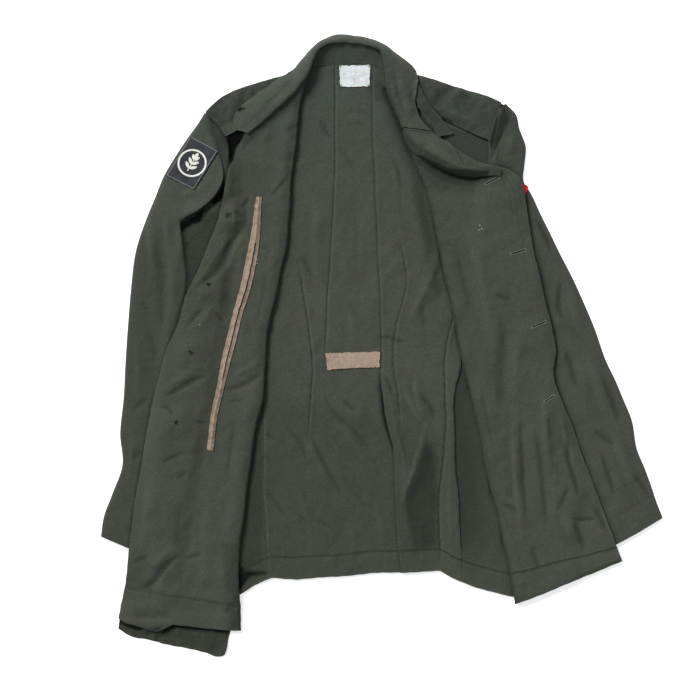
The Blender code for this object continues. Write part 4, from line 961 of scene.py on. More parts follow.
def worn(relief):
    """How far each place lies in a hollow, and on a ridge, from 0 to 1. Hollows get painted shade; ridges
    are paler with wear.
    """
    over = relief - softened(softened(relief, 2), 2)
    return np.clip(-over / HOLLOW_DEPTH, 0.0, 1.0), np.clip(over / HOLLOW_DEPTH, 0.0, 1.0)


def inside(x, y, corners, feather):
    """1 well inside a shape, 0 outside it, with a soft edge."""
    closed = np.concatenate([corners, corners[:1]])
    within = np.zeros(x.shape, bool)
    for (x0, y0), (x1, y1) in zip(closed[:-1], closed[1:]):
        crossed = (y0 > y) != (y1 > y)
        slant = (x1 - x0) / (y1 - y0 if y1 != y0 else 1e-9)
        within ^= crossed & (x < x0 + (y - y0) * slant)
    near = from_line(x, y, closed)[0]
    signed = np.where(within, near, -near)
    return np.clip(0.5 + signed / feather, 0.0, 1.0)


def shadowed(x, y, rows):
    """Painted shade of the deep places of a piece: strength, soft edge, then the corners of each."""
    total = np.zeros(x.shape)
    for strength, feather, *flat in rows:
        corners = course_of(flat)
        low, high = corners.min(axis=0) - feather, corners.max(axis=0) + feather
        box = (x > low[0]) & (x < high[0]) & (y > low[1]) & (y < high[1])
        if box.any():
            total[box] = np.maximum(total[box], strength * inside(x[box], y[box], corners, feather))
    return total


def lifted(loft, relief):
    """Height over what is below: never less than nothing, however deep a trough is."""
    high = loft + relief
    return 0.5 * (high + np.sqrt(high**2 + 0.15))


def stacked(x, y, z):
    return np.stack([x, y, z], axis=-1)


def raised(points, by):
    return points + np.array([0.0, 0.0, 1.0]) * (by if np.isscalar(by) else by[..., None])


def facing(points):
    """Unit normals of a grid of points, on its upper side."""
    normal = unit(np.cross(np.gradient(points, axis=1), np.gradient(points, axis=0)))
    return normal * math.copysign(1.0, normal[..., 2].sum())


def from_edges(grid):
    """Distance of each point of a grid from its nearest edge."""
    across = np.cumsum(np.linalg.norm(np.diff(grid, axis=1, prepend=grid[:, :1]), axis=2), axis=1)
    down = np.cumsum(np.linalg.norm(np.diff(grid, axis=0, prepend=grid[:1]), axis=2), axis=0)
    sides = [across, across[:, -1:] - across, down, down[-1:] - down]
    return np.minimum.reduce(sides), across, down


# Meshes ----------


def mesh_object(name, points, faces, look):
    """A smooth mesh that lies with the shirt."""
    mesh = bpy.data.meshes.new(name)
    mesh.from_pydata(points.tolist(), [], faces)
    mesh.polygons.foreach_set("use_smooth", np.ones(len(mesh.polygons), bool))
    mesh.materials.append(look)
    made = bpy.data.objects.new(name, mesh)
    bpy.context.collection.objects.link(made)
    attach(made, "root")
    return made


def cloth_piece(name, under, over, look=None, loop=False, keep=None, wear=None, shade=None, node=None):
    """A closed sheet between two grids of points: its upper face, lower face and rim."""
    rows, columns = under.shape[:2]
    count = rows * columns
    own = np.arange(count).reshape(rows, columns)
    joined = own.copy()
    if loop:
        joined[:, -1] = joined[:, 0]
    joined = joined.ravel()
    kept = np.ones((rows - 1, columns - 1), bool) if keep is None else keep
    cells = own[:-1, :-1], own[:-1, 1:], own[1:, 1:], own[1:, :-1]
    top = np.stack([corner[kept] for corner in cells], axis=1)
    edges = np.concatenate([top[:, [0, 1]], top[:, [1, 2]], top[:, [2, 3]], top[:, [3, 0]]])
    key = joined[edges[:, 0]] * count + joined[edges[:, 1]]
    back = joined[edges[:, 1]] * count + joined[edges[:, 0]]
    first, second = edges[~np.isin(key, back)].T
    rim = np.stack([second + count, first + count, first, second], axis=1)
    faces = np.concatenate([top + count, top[:, ::-1], rim])
    points = (np.concatenate([under.reshape(-1, 3), over.reshape(-1, 3)]) - SHIFT) * MM
    a, b, c, d = (points[faces[:, i]] for i in range(4))
    volume = (np.cross(a, b) * c).sum() + (np.cross(a, c) * d).sum()
    if volume < 0:
        faces = faces[:, ::-1]
    across, down = from_edges(over)[1:]
    chart = np.stack([across, down], axis=-1).reshape(-1, 2) * MM
    chart = np.concatenate([chart, chart])[faces.ravel()]
    corners = np.concatenate([joined, joined + count])[faces]
    used, corners = np.unique(corners, return_inverse=True)
    made = mesh_object(name, points[used], corners.reshape(-1, 4).tolist(), look or cloth_look())
    made.data.uv_layers.new(name="cut").data.foreach_set("uv", chart.ravel())
    # wear makes the cloth paler; shade is painted shade that darkens it.
    for label, values in (("wear", wear), ("shade", shade)):
        values = np.zeros(under.shape[:2]) if values is None else np.clip(values, 0.0, 1.0)
        values = np.concatenate([values.ravel(), values.ravel()])[used]
        attribute = made.data.attributes.new(label, "FLOAT", "POINT")
        attribute.data.foreach_set("value", values.astype(np.float32))
    made.data.set_sharp_from_angle(angle=math.radians(55))
    if node:
        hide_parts(node)
    return made


def sewn_on(cloth, *trims):
    SEWN.setdefault(cloth, []).extend(trims)


def stitched(thread, cloth, ends):
    """Keeps the two ends of each stitch, to be built with the other stitches."""
    STITCHES.setdefault((thread, cloth), []).append(np.array(ends))


def sew(thread, flat, cloth, step=None, share=0.72, above=0.05):
    """Stitches along a course on the pile as it now lies."""
    step = sizes().stitch / MM if step is None else step
    points = flat if isinstance(flat, np.ndarray) else smooth_course(flat, 2.0)
    place = np.concatenate([[0.0], np.cumsum(np.hypot(*np.diff(points, axis=0).T))])
    starts = np.arange(0.0, place[-1] - step, step)
    both = []
    for wanted in (starts, starts + step * share):
        x, y = np.interp(wanted, place, points[:, 0]), np.interp(wanted, place, points[:, 1])
        both.append(stacked(x, y, PILE.read(x, y) + above))
    stitched(thread, cloth, np.stack(both, axis=1))


# Materials ----------


def new_group(name, inputs, outputs):
    group = bpy.data.node_groups.new(name, "ShaderNodeTree")
    for label, kind, value in inputs:
        socket = group.interface.new_socket(name=label, in_out="INPUT", socket_type=kind)
        socket.default_value = value
    for label, kind in outputs:
        group.interface.new_socket(name=label, in_out="OUTPUT", socket_type=kind)
    return group, group.nodes.new("NodeGroupInput"), group.nodes.new("NodeGroupOutput")


def feed(tree, value, socket):
    """Gives a socket a number, a colour or a link."""
    if isinstance(value, tuple):
        socket.default_value = (*value, 1.0)
    elif isinstance(value, (int, float)):
        socket.default_value = value
    else:
        tree.links.new(value, socket)


def new_node(tree, kind, first=None, **values):
    """A node with its first input linked and others set. An underscore in a name stands for a space."""
    node = tree.nodes.new("ShaderNode" + kind)
    if first is not None:
        tree.links.new(first, node.inputs[0])
    for name, value in values.items():
        node.inputs[name.replace("_", " ")].default_value = value
    return node


def maths(tree, kind, *values, clamp=False):
    node = tree.nodes.new("ShaderNodeMath")
    node.operation = kind
    node.use_clamp = clamp
    for value, socket in zip(values, node.inputs):
        feed(tree, value, socket)
    return node.outputs[0]


def noise(tree, vector, scale, detail=2.0, roughness=0.5):
    node = new_node(tree, "TexNoise", vector, Scale=scale, Detail=detail, Roughness=roughness)
    return node.outputs["Fac"]


def mixed(tree, factor, first, second, kind="MIX"):
    node = tree.nodes.new("ShaderNodeMix")
    node.data_type = "RGBA"
    node.blend_type = kind
    for label, value in (("Factor", factor), ("A", first), ("B", second)):
        feed(tree, value, next(s for s in node.inputs if s.name == label and s.enabled))
    return next(s for s in node.outputs if s.enabled)


def bumped(tree, shader, height, strength, distance):
    """Fine relief of a surface."""
    bump = new_node(tree, "Bump", Strength=strength, Distance=distance)
    tree.links.new(height, bump.inputs["Height"])
    tree.links.new(bump.outputs["Normal"], shader.inputs["Normal"])


def new_look(name):
    """A new material, its node tree and its shader."""
    made = bpy.data.materials.new(name)
    made.use_nodes = True
    return made, made.node_tree, made.node_tree.nodes["Principled BSDF"]


def weave_group():
    """Woven cotton: a twill of slanting ribs on the cut's own chart, slubs, fading and faint stains,
    darkened by painted shade.
    """
    name = "woven_cotton"
    if name in bpy.data.node_groups:
        return bpy.data.node_groups[name]
    group, given, result = new_group(
        name,
        (("Colour", "NodeSocketColor", (0.1, 0.1, 0.1, 1.0)), ("Ribs", "NodeSocketFloat", 620.0),
         ("Fade", "NodeSocketFloat", 1.0), ("Slub", "NodeSocketFloat", 1.0),
         ("Cool", "NodeSocketFloat", 0.0)),
        (("Colour", "NodeSocketColor"), ("Roughness", "NodeSocketFloat"), ("Height", "NodeSocketFloat")))
    links, ribs, cool_share = group.links, given.outputs["Ribs"], given.outputs["Cool"]

    def plus(first, second, clamp=False):
        return maths(group, "ADD", first, second, clamp=clamp)

    def times(first, second, clamp=False):
        return maths(group, "MULTIPLY", first, second, clamp=clamp)

    def line(value, slope, start, clamp=False):
        return maths(group, "MULTIPLY_ADD", value, slope, start, clamp=clamp)

    def varied(value, share):
        return times(maths(group, "SUBTRACT", value, 0.5), share)

    def attribute(label):
        node = group.nodes.new("ShaderNodeAttribute")
        node.attribute_name = label
        return node.outputs["Fac"]

    def scaled(colour, by):
        node = new_node(group, "VectorMath", colour)
        node.operation = "SCALE"
        feed(group, by, node.inputs["Scale"])
        return node.outputs[0]

    def dyed(base, dye, share=1.0):
        return mixed(group, share, base, mixed(group, 1.0, base, dye, "MULTIPLY"))

    chart = group.nodes.new("ShaderNodeUVMap")
    chart.uv_map = "cut"
    place = group.nodes.new("ShaderNodeTexCoord").outputs["Object"]
    split = new_node(group, "SeparateXYZ", chart.outputs["UV"])
    u, v = split.outputs["X"], split.outputs["Y"]
    slant = maths(group, "SINE", times(plus(u, times(v, 0.62)), times(ribs, 6.283)))
    weft = maths(group, "SINE", times(v, times(ribs, 9.4)))
    rib = line(plus(slant, times(weft, 0.45)), 0.32, 0.5)
    # Slubs are long in the warp, so the chart is squeezed that way.
    squeezed = new_node(group, "Mapping", chart.outputs["UV"], Scale=(3.2, 0.5, 1.0))
    slub = noise(group, squeezed.outputs[0], 420.0, 3.0, 0.65)
    heather = noise(group, place, 430.0, 3.0, 0.8)
    fleck = new_node(group, "TexNoise", place, Scale=330.0, Detail=2.0).outputs["Color"]
    cloud = noise(group, place, 11.0, 4.0, 0.6)
    patchy = noise(group, place, 46.0, 3.0, 0.55)
    wear, shade = attribute("wear"), attribute("shade")
    # The shade attribute is painted shade: the colour is darkened by it.
    lit = maths(group, "SUBTRACT", 1.0, shade)
    edge = times(wear, line(patchy, 0.9, 0.35))
    tone = plus(varied(cloud, 0.30), 1.0)
    for part in (varied(patchy, 0.10), varied(heather, 0.95),
                 varied(slub, times(given.outputs["Slub"], 0.30)),
                 varied(rib, 0.16), times(edge, times(given.outputs["Fade"], 0.55))):
        tone = plus(tone, part)
    base = scaled(given.outputs["Colour"], times(tone, lit))
    # Faded cloth turns warmer in large soft clouds, and cooler between them, less so under painted shade.
    warm = mixed(group, times(cloud, 0.5), base, (0.072, 0.069, 0.050))
    tinted = mixed(group, times(0.26, lit), base, warm)
    # The shoulders and the neck turn cooler, painted shade turns cooler too, and random patches vary it.
    up = new_node(group, "SeparateXYZ", place).outputs["Y"]
    cool = new_node(group, "MapRange", up, From_Min=0.10, From_Max=0.42, To_Min=0.08, To_Max=0.85)
    cool.interpolation_type = "SMOOTHSTEP"
    cooler = plus(plus(cool.outputs["Result"], times(shade, 0.4)), line(patchy, 0.7, -0.35), clamp=True)
    tinted = dyed(tinted, mixed(group, cooler, (1.0, 1.0, 0.88), (0.93, 0.99, 1.0)), cool_share)
    tinted = dyed(tinted, (1.04, 0.90, 0.80), times(edge, times(cool_share, 0.8), clamp=True))
    # Single fibres are a little warmer or greener than the rest.
    links.new(scaled(dyed(tinted, fleck, 0.46), 1.30), result.inputs["Colour"])
    links.new(line(slub, 0.14, 0.80, clamp=True), result.inputs["Roughness"])
    # Thin folds of cloth that has been packed away: ridged noise, drawn out along the warp.
    drawn = new_node(group, "Mapping", place, Scale=(1.0, 0.62, 1.0), Rotation=(0.0, 0.0, 0.35))
    crumple = new_node(group, "TexNoise", drawn.outputs[0], Scale=34.0, Detail=2.5, Roughness=0.55,
                       Distortion=0.35)
    crumple.noise_type = "RIDGED_MULTIFRACTAL"
    height = plus(times(rib, 0.10), times(slub, 0.22))
    height = plus(height, times(noise(group, place, 260.0, 3.0, 0.6), 0.55))
    links.new(plus(height, times(crumple.outputs["Fac"], 0.80)), result.inputs["Height"])
    return group


def woven(name, colour, ribs=620.0, fade=1.0, slub=1.0, depth=0.8, sheen=0.03, cool=0.0):
    """Material of a woven cloth."""
    if name in bpy.data.materials:
        return bpy.data.materials[name]
    made, tree, shader = new_look(name)
    weave = tree.nodes.new("ShaderNodeGroup")
    weave.node_tree = weave_group()
    given = {"Colour": (*colour, 1.0), "Ribs": ribs, "Fade": fade, "Slub": slub, "Cool": cool}
    for label, value in given.items():
        weave.inputs[label].default_value = value
    tree.links.new(weave.outputs["Colour"], shader.inputs["Base Color"])
    tree.links.new(weave.outputs["Roughness"], shader.inputs["Roughness"])
    bumped(tree, shader, weave.outputs["Height"], depth, 0.001)
    shader.inputs["Specular IOR Level"].default_value = 0.08
    shader.inputs["Sheen Weight"].default_value = sheen
    shader.inputs["Sheen Roughness"].default_value = 0.6
    return made


def cloth_look():
    return woven("olive_drab", colours().cloth, cool=1.0)


def shaded(colour, share):
    return tuple(min(1.0, value * share) for value in colour)


def thread_look(name, colour, roughness=0.7):
    """Material of twisted thread."""
    if name in bpy.data.materials:
        return bpy.data.materials[name]
    made, tree, shader = new_look(name)
    place = tree.nodes.new("ShaderNodeTexCoord").outputs["Object"]
    fuzz = noise(tree, place, 2600.0)
    tree.links.new(mixed(tree, fuzz, shaded(colour, 0.7), tuple(colour)), shader.inputs["Base Color"])
    bumped(tree, shader, fuzz, 0.5, 0.0002)
    shader.inputs["Roughness"].default_value = roughness
    return made


def button_look():
    """Material of the moulded buttons."""
    name = "button_resin"
    if name in bpy.data.materials:
        return bpy.data.materials[name]
    made, tree, shader = new_look(name)
    place = tree.nodes.new("ShaderNodeTexCoord").outputs["Object"]
    swirl = noise(tree, place, 260.0, 3.0)
    dark, light = shaded(colours().button, 0.6), shaded(colours().button, 1.7)
    tree.links.new(mixed(tree, swirl, dark, light), shader.inputs["Base Color"])
    tree.links.new(maths(tree, "MULTIPLY_ADD", swirl, 0.2, 0.36), shader.inputs["Roughness"])
    return made


# Nearly black: painted shadow in a buttonhole's slit.
def slit_look():
    return woven("slit_shadow", (0.006, 0.008, 0.007), depth=0.2, sheen=0.0)


# Cloth pieces ----------

# Lines of the back that are also folded or sewn: y, then x at that height.
DART_R = ((406, -132.8), (284.2, -131.4), (139.2, -122.7), (100, -116.9), (66.7, -112.5), (40.6, -108.2),
          (8.7, -103.8), (-13, -100.9), (-37.7, -100.5), (-71, -102.4), (-107.3, -105.3), (-223.3, -111.1),
          (-368.3, -114))
DART_L = ((406, 38.3), (284.2, 32.5), (175.4, 26.7), (139.2, 28.1), (107.3, 35.4), (81.2, 33.9),
          (65.2, 29.6), (31.9, 20.9), (-2.9, 15.8), (-31.9, 16.5), (-63.8, 22.3), (-95.7, 25.2),
          (-150.8, 35.4), (-223.3, 44.1), (-368.3, 51.3))
PLEAT_L = ((406, 148.5), (139.2, 136.9), (43.5, 128.2), (7.2, 115.1), (-29, 114.4), (-58, 106.4),
           (-84.1, 103.5), (-131.9, 105), (-184.2, 106.4), (-223.3, 110.8), (-295.8, 113.7),
           (-368.3, 115.1))
# Each border of the back's panels: its course, the depth of its groove, the strength of the painted shade
# in that groove, and where it starts and ends
BACK_BORDERS = (
    (SIDE_R, 0, 0, 900, -900),
    (SEAM_R, 1, 0.44, 900, -319),
    (DART_R, 0.9, 0.38, 107.3, -124.7),
    (CENTRE_R, 0.8, 0.34, 900, -10.2),
    (CENTRE_L, 0.8, 0.36, 900, -37.7),
    (DART_L, 0.9, 0.38, 145, -104.4),
    (SEAM_L, 1.2, 0.50, 900, -304.5),
    (PLEAT_L, 0, 0, 900, -900),
    (SIDE_L, 0, 0, 900, -900),
)
# Extra points of the grid at these distances from a seam
BESIDE_SEAM = (1.1, 2.4, 4.2)
# Each strip between two borders: the piece that it belongs to, its width, and how coarse its grid is
BACK_PANELS = ("back_side_right", "back_right", "back_right", "back_centre", "back_left", "back_left",
               "back_side_left", "back_side_left")
BACK_WIDTHS = (105.0, 75.0, 40.0, 76.0, 38.0, 70.0, 30.0, 110.0)
BACK_COARSE = (1.2, 1.0, 1.0, 1.0, 1.0, 1.0, 1.0, 1.5)
# Piece, seam, first and last height, and how far beside the seam it is sewn
BACK_SEWING = (
    ("back_centre", CENTRE_R, 406, -8.7, -0.9),
    ("back_centre", CENTRE_L, 406, -34.8, 0.9),
    ("back_right", DART_R, 100, -114.5, -0.9),
    ("back_left", DART_L, 139.2, -98.6, 0.9),
)
VENT_TOP = -37.7
VENT_RISE = 3.4
VENT_OVERLAP = 0.9
PLEAT_TOP = -8.7
PLEAT_RISE = 3.2
BACK_LOFT = 2.2


def between(y, top, bottom, soft=5.0):
    """1 where y is under top and over bottom."""
    return 1.0 / (1.0 + np.exp((y - top) / soft)) / (1.0 + np.exp((bottom - y) / soft))


def back_grid():
    """Places of the back. Its columns follow the seams, its rows the shoulders, the waist and the hem."""
    borders = [border[0] for border in BACK_BORDERS]
    strips = enumerate(zip(BACK_WIDTHS, BACK_COARSE))
    columns = [i + closer(width, coarse)[:-1] for i, (width, coarse) in strips]
    u = np.concatenate(columns + [[len(BACK_WIDTHS)]])
    panel = np.minimum(u.astype(int), len(BACK_WIDTHS) - 1)
    part = u - panel
    upper, lower, turn = (int(length / pitch()) for length in (*BACK_LENGTHS, BACK_HEM_DEPTH))
    rows = upper + lower + turn
    y = np.linspace(*BACK_START, rows + 1)[:, None] * np.ones(len(u))
    for _ in range(BACK_ROUNDS):
        left = np.array([course(borders[p], y[:, i]) for i, p in enumerate(panel)]).T
        right = np.array([course(borders[p + 1], y[:, i]) for i, p in enumerate(panel)]).T
        x = left * (1 - part) + right * part
        top, hem = course(BACK_TOP, x), course(BACK_HEM, x)
        turned_at = hem + BACK_HEM_DEPTH
        v = np.linspace(0, 1, upper + 1)[:, None]
        y[: upper + 1] = top[: upper + 1] * (1 - v) + WAIST_Y * v
        v = np.linspace(0, 1, lower + 1)[:, None]
        y[upper : upper + lower + 1] = WAIST_Y * (1 - v) + turned_at[upper : upper + lower + 1] * v
        v = np.linspace(0, 1, turn + 1)[:, None]
        y[upper + lower :] = turned_at[upper + lower :] * (1 - v) + hem[upper + lower :] * v
    return x, y, panel, upper, lower


def back_seams(x, y):
    """Grooves of the back's seams and darts, the painted shade in them, and how rubbed the cloth is beside
    them.
    """
    groove, dark, rub = np.zeros_like(x), np.zeros_like(x), np.zeros_like(x)
    for line, deep, strength, top, bottom in BACK_BORDERS:
        if not deep:
            continue
        away = x - course(line, y)
        sewn = between(y, top, bottom, 6.0)
        pucker = 1.0 + 0.35 * np.sin(y / 1.9 + 3.0 * np.sin(y / 17.0))
        groove -= deep * sewn * pucker * fading(away, 1.7)
        groove += 0.5 * sewn * fading(away - 4.0, 3.0)
        # Painted shade in the seam's groove.
        dark = np.maximum(dark, strength * sewn * fading(away, 0.9))
        rub += 0.22 * sewn * fading(away - 2.6, 1.8)
    return groove, dark, rub


def back_pleat(x, y):
    """The pleat beside the left side-back seam stands up and drops at its fold, with painted shade beyond
    the fold.
    """
    from_seam, from_fold = x - course(SEAM_L, y), x - course(PLEAT_L, y)
    past_fold = np.maximum(from_fold, 0.0)
    stands = between(y, PLEAT_TOP, -332.1, 9.0) * (0.45 + 0.55 * between(y, PLEAT_TOP, -292.9, 6.0))
    on_pleat = (from_seam > 0.05) & (from_fold < 0.01)
    share = np.clip(from_seam / np.maximum(from_seam - from_fold, 1e-6), 0.0, 1.0)
    rise = PLEAT_RISE * stands * on_pleat * (0.25 + 0.75 * share ** 0.8) * (1.0 - 0.25 * (share > 0.93))
    beyond = stands * (from_fold > 0.01)
    dark = beyond * np.maximum(0.62 * fading(past_fold, 2.6, 1.3), 0.46 * fading(past_fold, 60.0))
    return rise, beyond, dark


def fold_shadows(x, y):
    """Painted shadow on the back along the folds of both fronts."""
    dark = np.zeros_like(x)
    uneven = 0.8 + 0.25 * np.sin(y / 17.0 + 1.5 * np.sin(y / 41.0))
    for rows, stands in ((RIGHT_FRONT, 0.0), (LEFT_FRONT, FOLD_STANDS)):
        near = np.maximum(from_line(x, y, front_sections(rows)[::4, 2:4])[0] - stands, 0.0)
        narrow, wide = 0.70 * uneven * fading(near, 2.9, 1.5), 0.24 * uneven * fading(near, 15.0, 1.6)
        dark = np.maximum.reduce([dark, narrow, wide])
    return dark


def back_pieces(panel, rows, upper):
    """Names of the back's pieces, and which of them each cell of its grid belongs to."""
    names = list(dict.fromkeys(BACK_PANELS))
    order = np.array([names.index(name) for name in BACK_PANELS])
    which = np.broadcast_to(order[panel[:-1]][None, :], (rows, len(panel) - 1)).copy()
    armhole = int(upper * ARMHOLE_SHARE)
    which[:armhole, panel[:-1] == 0] = names.index("back_right")
    which[:armhole, panel[:-1] >= 6] = names.index("back_left")
    below_waist = np.arange(rows)[:, None] >= upper
    which[below_waist & (which == names.index("back_centre"))] = names.index("back_right")
    return names, which


def lay_back():
    """The panels of the back, which share one grid, and the hem turned up over them."""
    x, y, panel, upper, lower = back_grid()
    rows = x.shape[0] - 1
    folds = sizes().crease * creases(x, y, BACK_CREASES)
    relief = folds + sizes().crease * ruffle(x, y, 3, 0.26, lie=94.0)
    hollow, ridge = worn(folds)
    groove, dark, rub = back_seams(x, y)
    rise, beyond_pleat, pleat_shade = back_pleat(x, y)
    z = lifted(BACK_LOFT, relief + groove)
    z += rise
    z -= 0.9 * beyond_pleat
    # The side panel beyond the right side-back seam lies a little lower, with faint painted shade.
    beyond = (course(SEAM_R, y) - x) > 0.01
    z -= 0.8 * beyond
    # Under the vent the left panel lies over the right one, with a rolled edge and a painted shadow beside
    # it.
    away = x - course(CENTRE_L, y)
    ramp = 1.0 / (1.0 + np.exp((y - VENT_TOP) / 6.0))
    z += VENT_RISE * ramp * fading(np.maximum(away, 0.0), 17.0) * (away > -0.01)
    vent_shadow = ramp * (away < 0.01) * (0.45 + 0.54 * between(y, -43.5, -150.8, 9.0))
    vent_shadow = vent_shadow * fading(away, 3.0 + 3.6 * between(y, -55.1, -136.3, 9.0))
    # Painted shade along the seams, beyond the pleat and the right side-back seam, beside the vent, along
    # the fronts' folds, in the listed shadows and in hollows.
    shade = np.maximum.reduce([dark, pleat_shade, 0.20 * beyond, vent_shadow, fold_shadows(x, y),
                               shadowed(x, y, BACK_SHADOWS), HOLLOW_SHADE * hollow])
    # Ridges, and the cloth above the waist, are paler.
    rub += 0.30 * ridge + 0.12 * between(y, 900, WAIST_Y, 30.0)
    x_all, y_all = wander(x, y)
    names, which = back_pieces(panel, rows, upper)
    for index, name in enumerate(names):
        keep = which == index
        px, pz = x_all.copy(), z.copy()
        if name == "back_left":
            px -= VENT_OVERLAP * ramp * fading(away, 5.0)
        elif name == "back_right":
            pz -= VENT_RISE * ramp * (away > -0.01)
            px += VENT_UNDERLAP * np.clip(1.4 * ramp - 0.4, 0.0, 1.0) * (away > -0.01)
        low = stacked(px, y_all, np.maximum(pz, 0.15))
        made = cloth_piece(name, low, raised(low, wall()), keep=keep, wear=rub, shade=shade, node=name)
    PILE.add(x, y, z + wall())
    LAID["neck"] = (x[0], y[0])
    hem = slice(upper + lower, rows + 1)
    lay_back_hem(stacked(x_all[hem], y_all[hem], z[hem] + wall() + 0.1), rub[hem], shade[hem])
    for cloth, seam, top, bottom, aside in BACK_SEWING:
        heights = np.arange(top, bottom, -2.0)
        sew("dark", np.stack([course(seam, heights), heights], axis=-1) + np.array([aside, 0.0]), cloth)


def hem_wall(below, depth):
    """Thickness of a turned-up hem, thinner along its sewn edge."""
    return THIN_EDGE + (depth - THIN_EDGE) * np.clip(below / 7.0, 0.0, 1.0)


def lay_back_hem(low, rub, shade):
    below = from_edges(low)[2]
    # The sewn upper edge gets painted shade; the folded lower edge is paler with wear.
    made = cloth_piece("back_hem", low, raised(low, hem_wall(below, wall())), node="back_hem",
                       wear=rub + 0.45 * fading(below[-1:] - below, 2.0, 1),
                       shade=np.maximum(shade, 0.6 * fading(below, 1.1, 1)))
    PILE.add(low[..., 0], low[..., 1], low[..., 2] + wall())
    sew("dark", (low[1, :, :2] + np.array([0.0, 0.4]))[::2], made.name)


def lay_strip(name, grid, look, thick, relief, shade, wear=0.0, node=None, gap=0.1, reach=3.0,
              parent=None):
    """A sheet on the pile. A strip that is part of another piece names it as its parent."""
    x, y = wander(grid[..., 0], grid[..., 1])
    z = PILE.rest(x, y, gap, reach) + lifted(0.0, relief)
    hollow, ridge = worn(relief)
    low = stacked(x, y, z)
    # Hollows of its relief get painted shade; ridges are paler with wear.
    made = cloth_piece(name, low, raised(low, thick), look, wear=0.3 * ridge + wear,
                       shade=np.maximum(HOLLOW_SHADE * hollow, shade), node=node)
    PILE.add(x, y, z + thick)
    if parent:
        sewn_on(parent, name)
    return made, low


def four_sided(corners, across, down):
    """Places of a four-cornered patch, from shares of its width and height."""
    top = corners[0] * (1 - across) + corners[1] * across
    bottom = corners[3] * (1 - across) + corners[2] * across
    return top * (1 - down) + bottom * down


def lay_quad(name, corners, look, thick, seed, fray):
    """A four-cornered patch on the pile, its edges not quite straight."""
    corners = course_of(corners)
    right, down = corners[1] - corners[0], corners[3] - corners[0]
    wide, long = np.linalg.norm(right), np.linalg.norm(down)
    right, down = right / wide, down / long
    grid = four_sided(corners, np.linspace(0, 1, int(wide / PATCH_STEP) + 1)[None, :, None],
                      np.linspace(0, 1, int(long / PATCH_STEP) + 1)[:, None, None])
    random = np.random.default_rng(seed)
    for edge, out in ((grid[0], down), (grid[-1], down), (grid[:, 0], right), (grid[:, -1], right)):
        edge += out * random.normal(0, fray, (len(edge), 1))
    x, y = grid[..., 0], grid[..., 1]
    small = ruffle(x, y, seed, 0.12, lie=20.0, spacing=16.0)
    edge = from_edges(stacked(x, y, x * 0))[0]
    # Dips in the patch get painted shade, and its edges are paler with wear.
    made = lay_strip(name, grid, look, thick, 0.3 + small, 0.5 * np.clip(-small, 0, 1), node=name,
                     wear=0.7 * fading(edge, 1.6, 1))[0]
    return made, corners


def around(corners, inset):
    """The course of stitches inside the edge of a four-cornered patch."""
    middle = corners.mean(axis=0)
    reach = np.linalg.norm(corners - middle, axis=1, keepdims=True)
    inner = middle + (corners - middle) * (1.0 - inset * 1.4 / reach)
    closed = np.concatenate([inner, inner[:1]])
    steps = np.linspace(0, len(inner), 240)
    return np.column_stack([np.interp(steps, np.arange(len(closed)), closed[:, i]) for i in range(2)])


def section_out(sections, first, second):
    return unit(sections[:, second] - sections[:, first])


def front_sections(rows):
    """The sections of a front, with the fold line moved in by what the rounded fold stands out."""
    sections = along(rows, int(length_of(rows) / pitch()) + 1)
    out = section_out(sections, slice(0, 2), slice(2, 4))
    sections[:, 2:4] -= out * FOLD_INSET
    return sections


def lay_front_lower(name, rows, seed):
    """The part of a front that lies under the turned-out part, from the side seam to the fold."""
    sections = front_sections(rows)
    seam, fold = sections[:, 0:2], sections[:, 2:4]
    width = mean_width(seam, fold)
    places = np.concatenate([np.linspace(0, 1 - 16.0 / width, int(width / pitch() / 3.0)),
                             1 - np.array([12.0, 8.5, 5.5, 2.8, 0.0]) / width])
    grid = spread(seam, fold, places)
    x, y = wander(grid[..., 0], grid[..., 1])
    z = PILE.rest(x, y) + lifted(0.1, sizes().crease * ruffle(x, y, seed, 0.25))
    PILE.add(x, y, z + wall())
    LAID[name] = stacked(x, y, z)


def rolled_fold(start, end, out):
    """Inner and outer face of a rounded fold, from the edge of the lower cloth to that of the upper."""
    radius = (end[:, 2] - start[:, 2] - wall()) / 2
    middle = (end[:, 2] + start[:, 2] + wall()) / 2
    faces = []
    for extra in (0.0, wall()):
        face = []
        for turn in np.radians(FOLD_ANGLES):
            stands = (np.minimum(radius, FOLD_WIDEST) + extra) * math.cos(turn)
            flat = start[:, :2] + out * stands[:, None]
            face.append(np.column_stack([flat, middle + (radius + extra) * math.sin(turn)]))
        faces.append(np.stack(face, axis=1))
    return faces


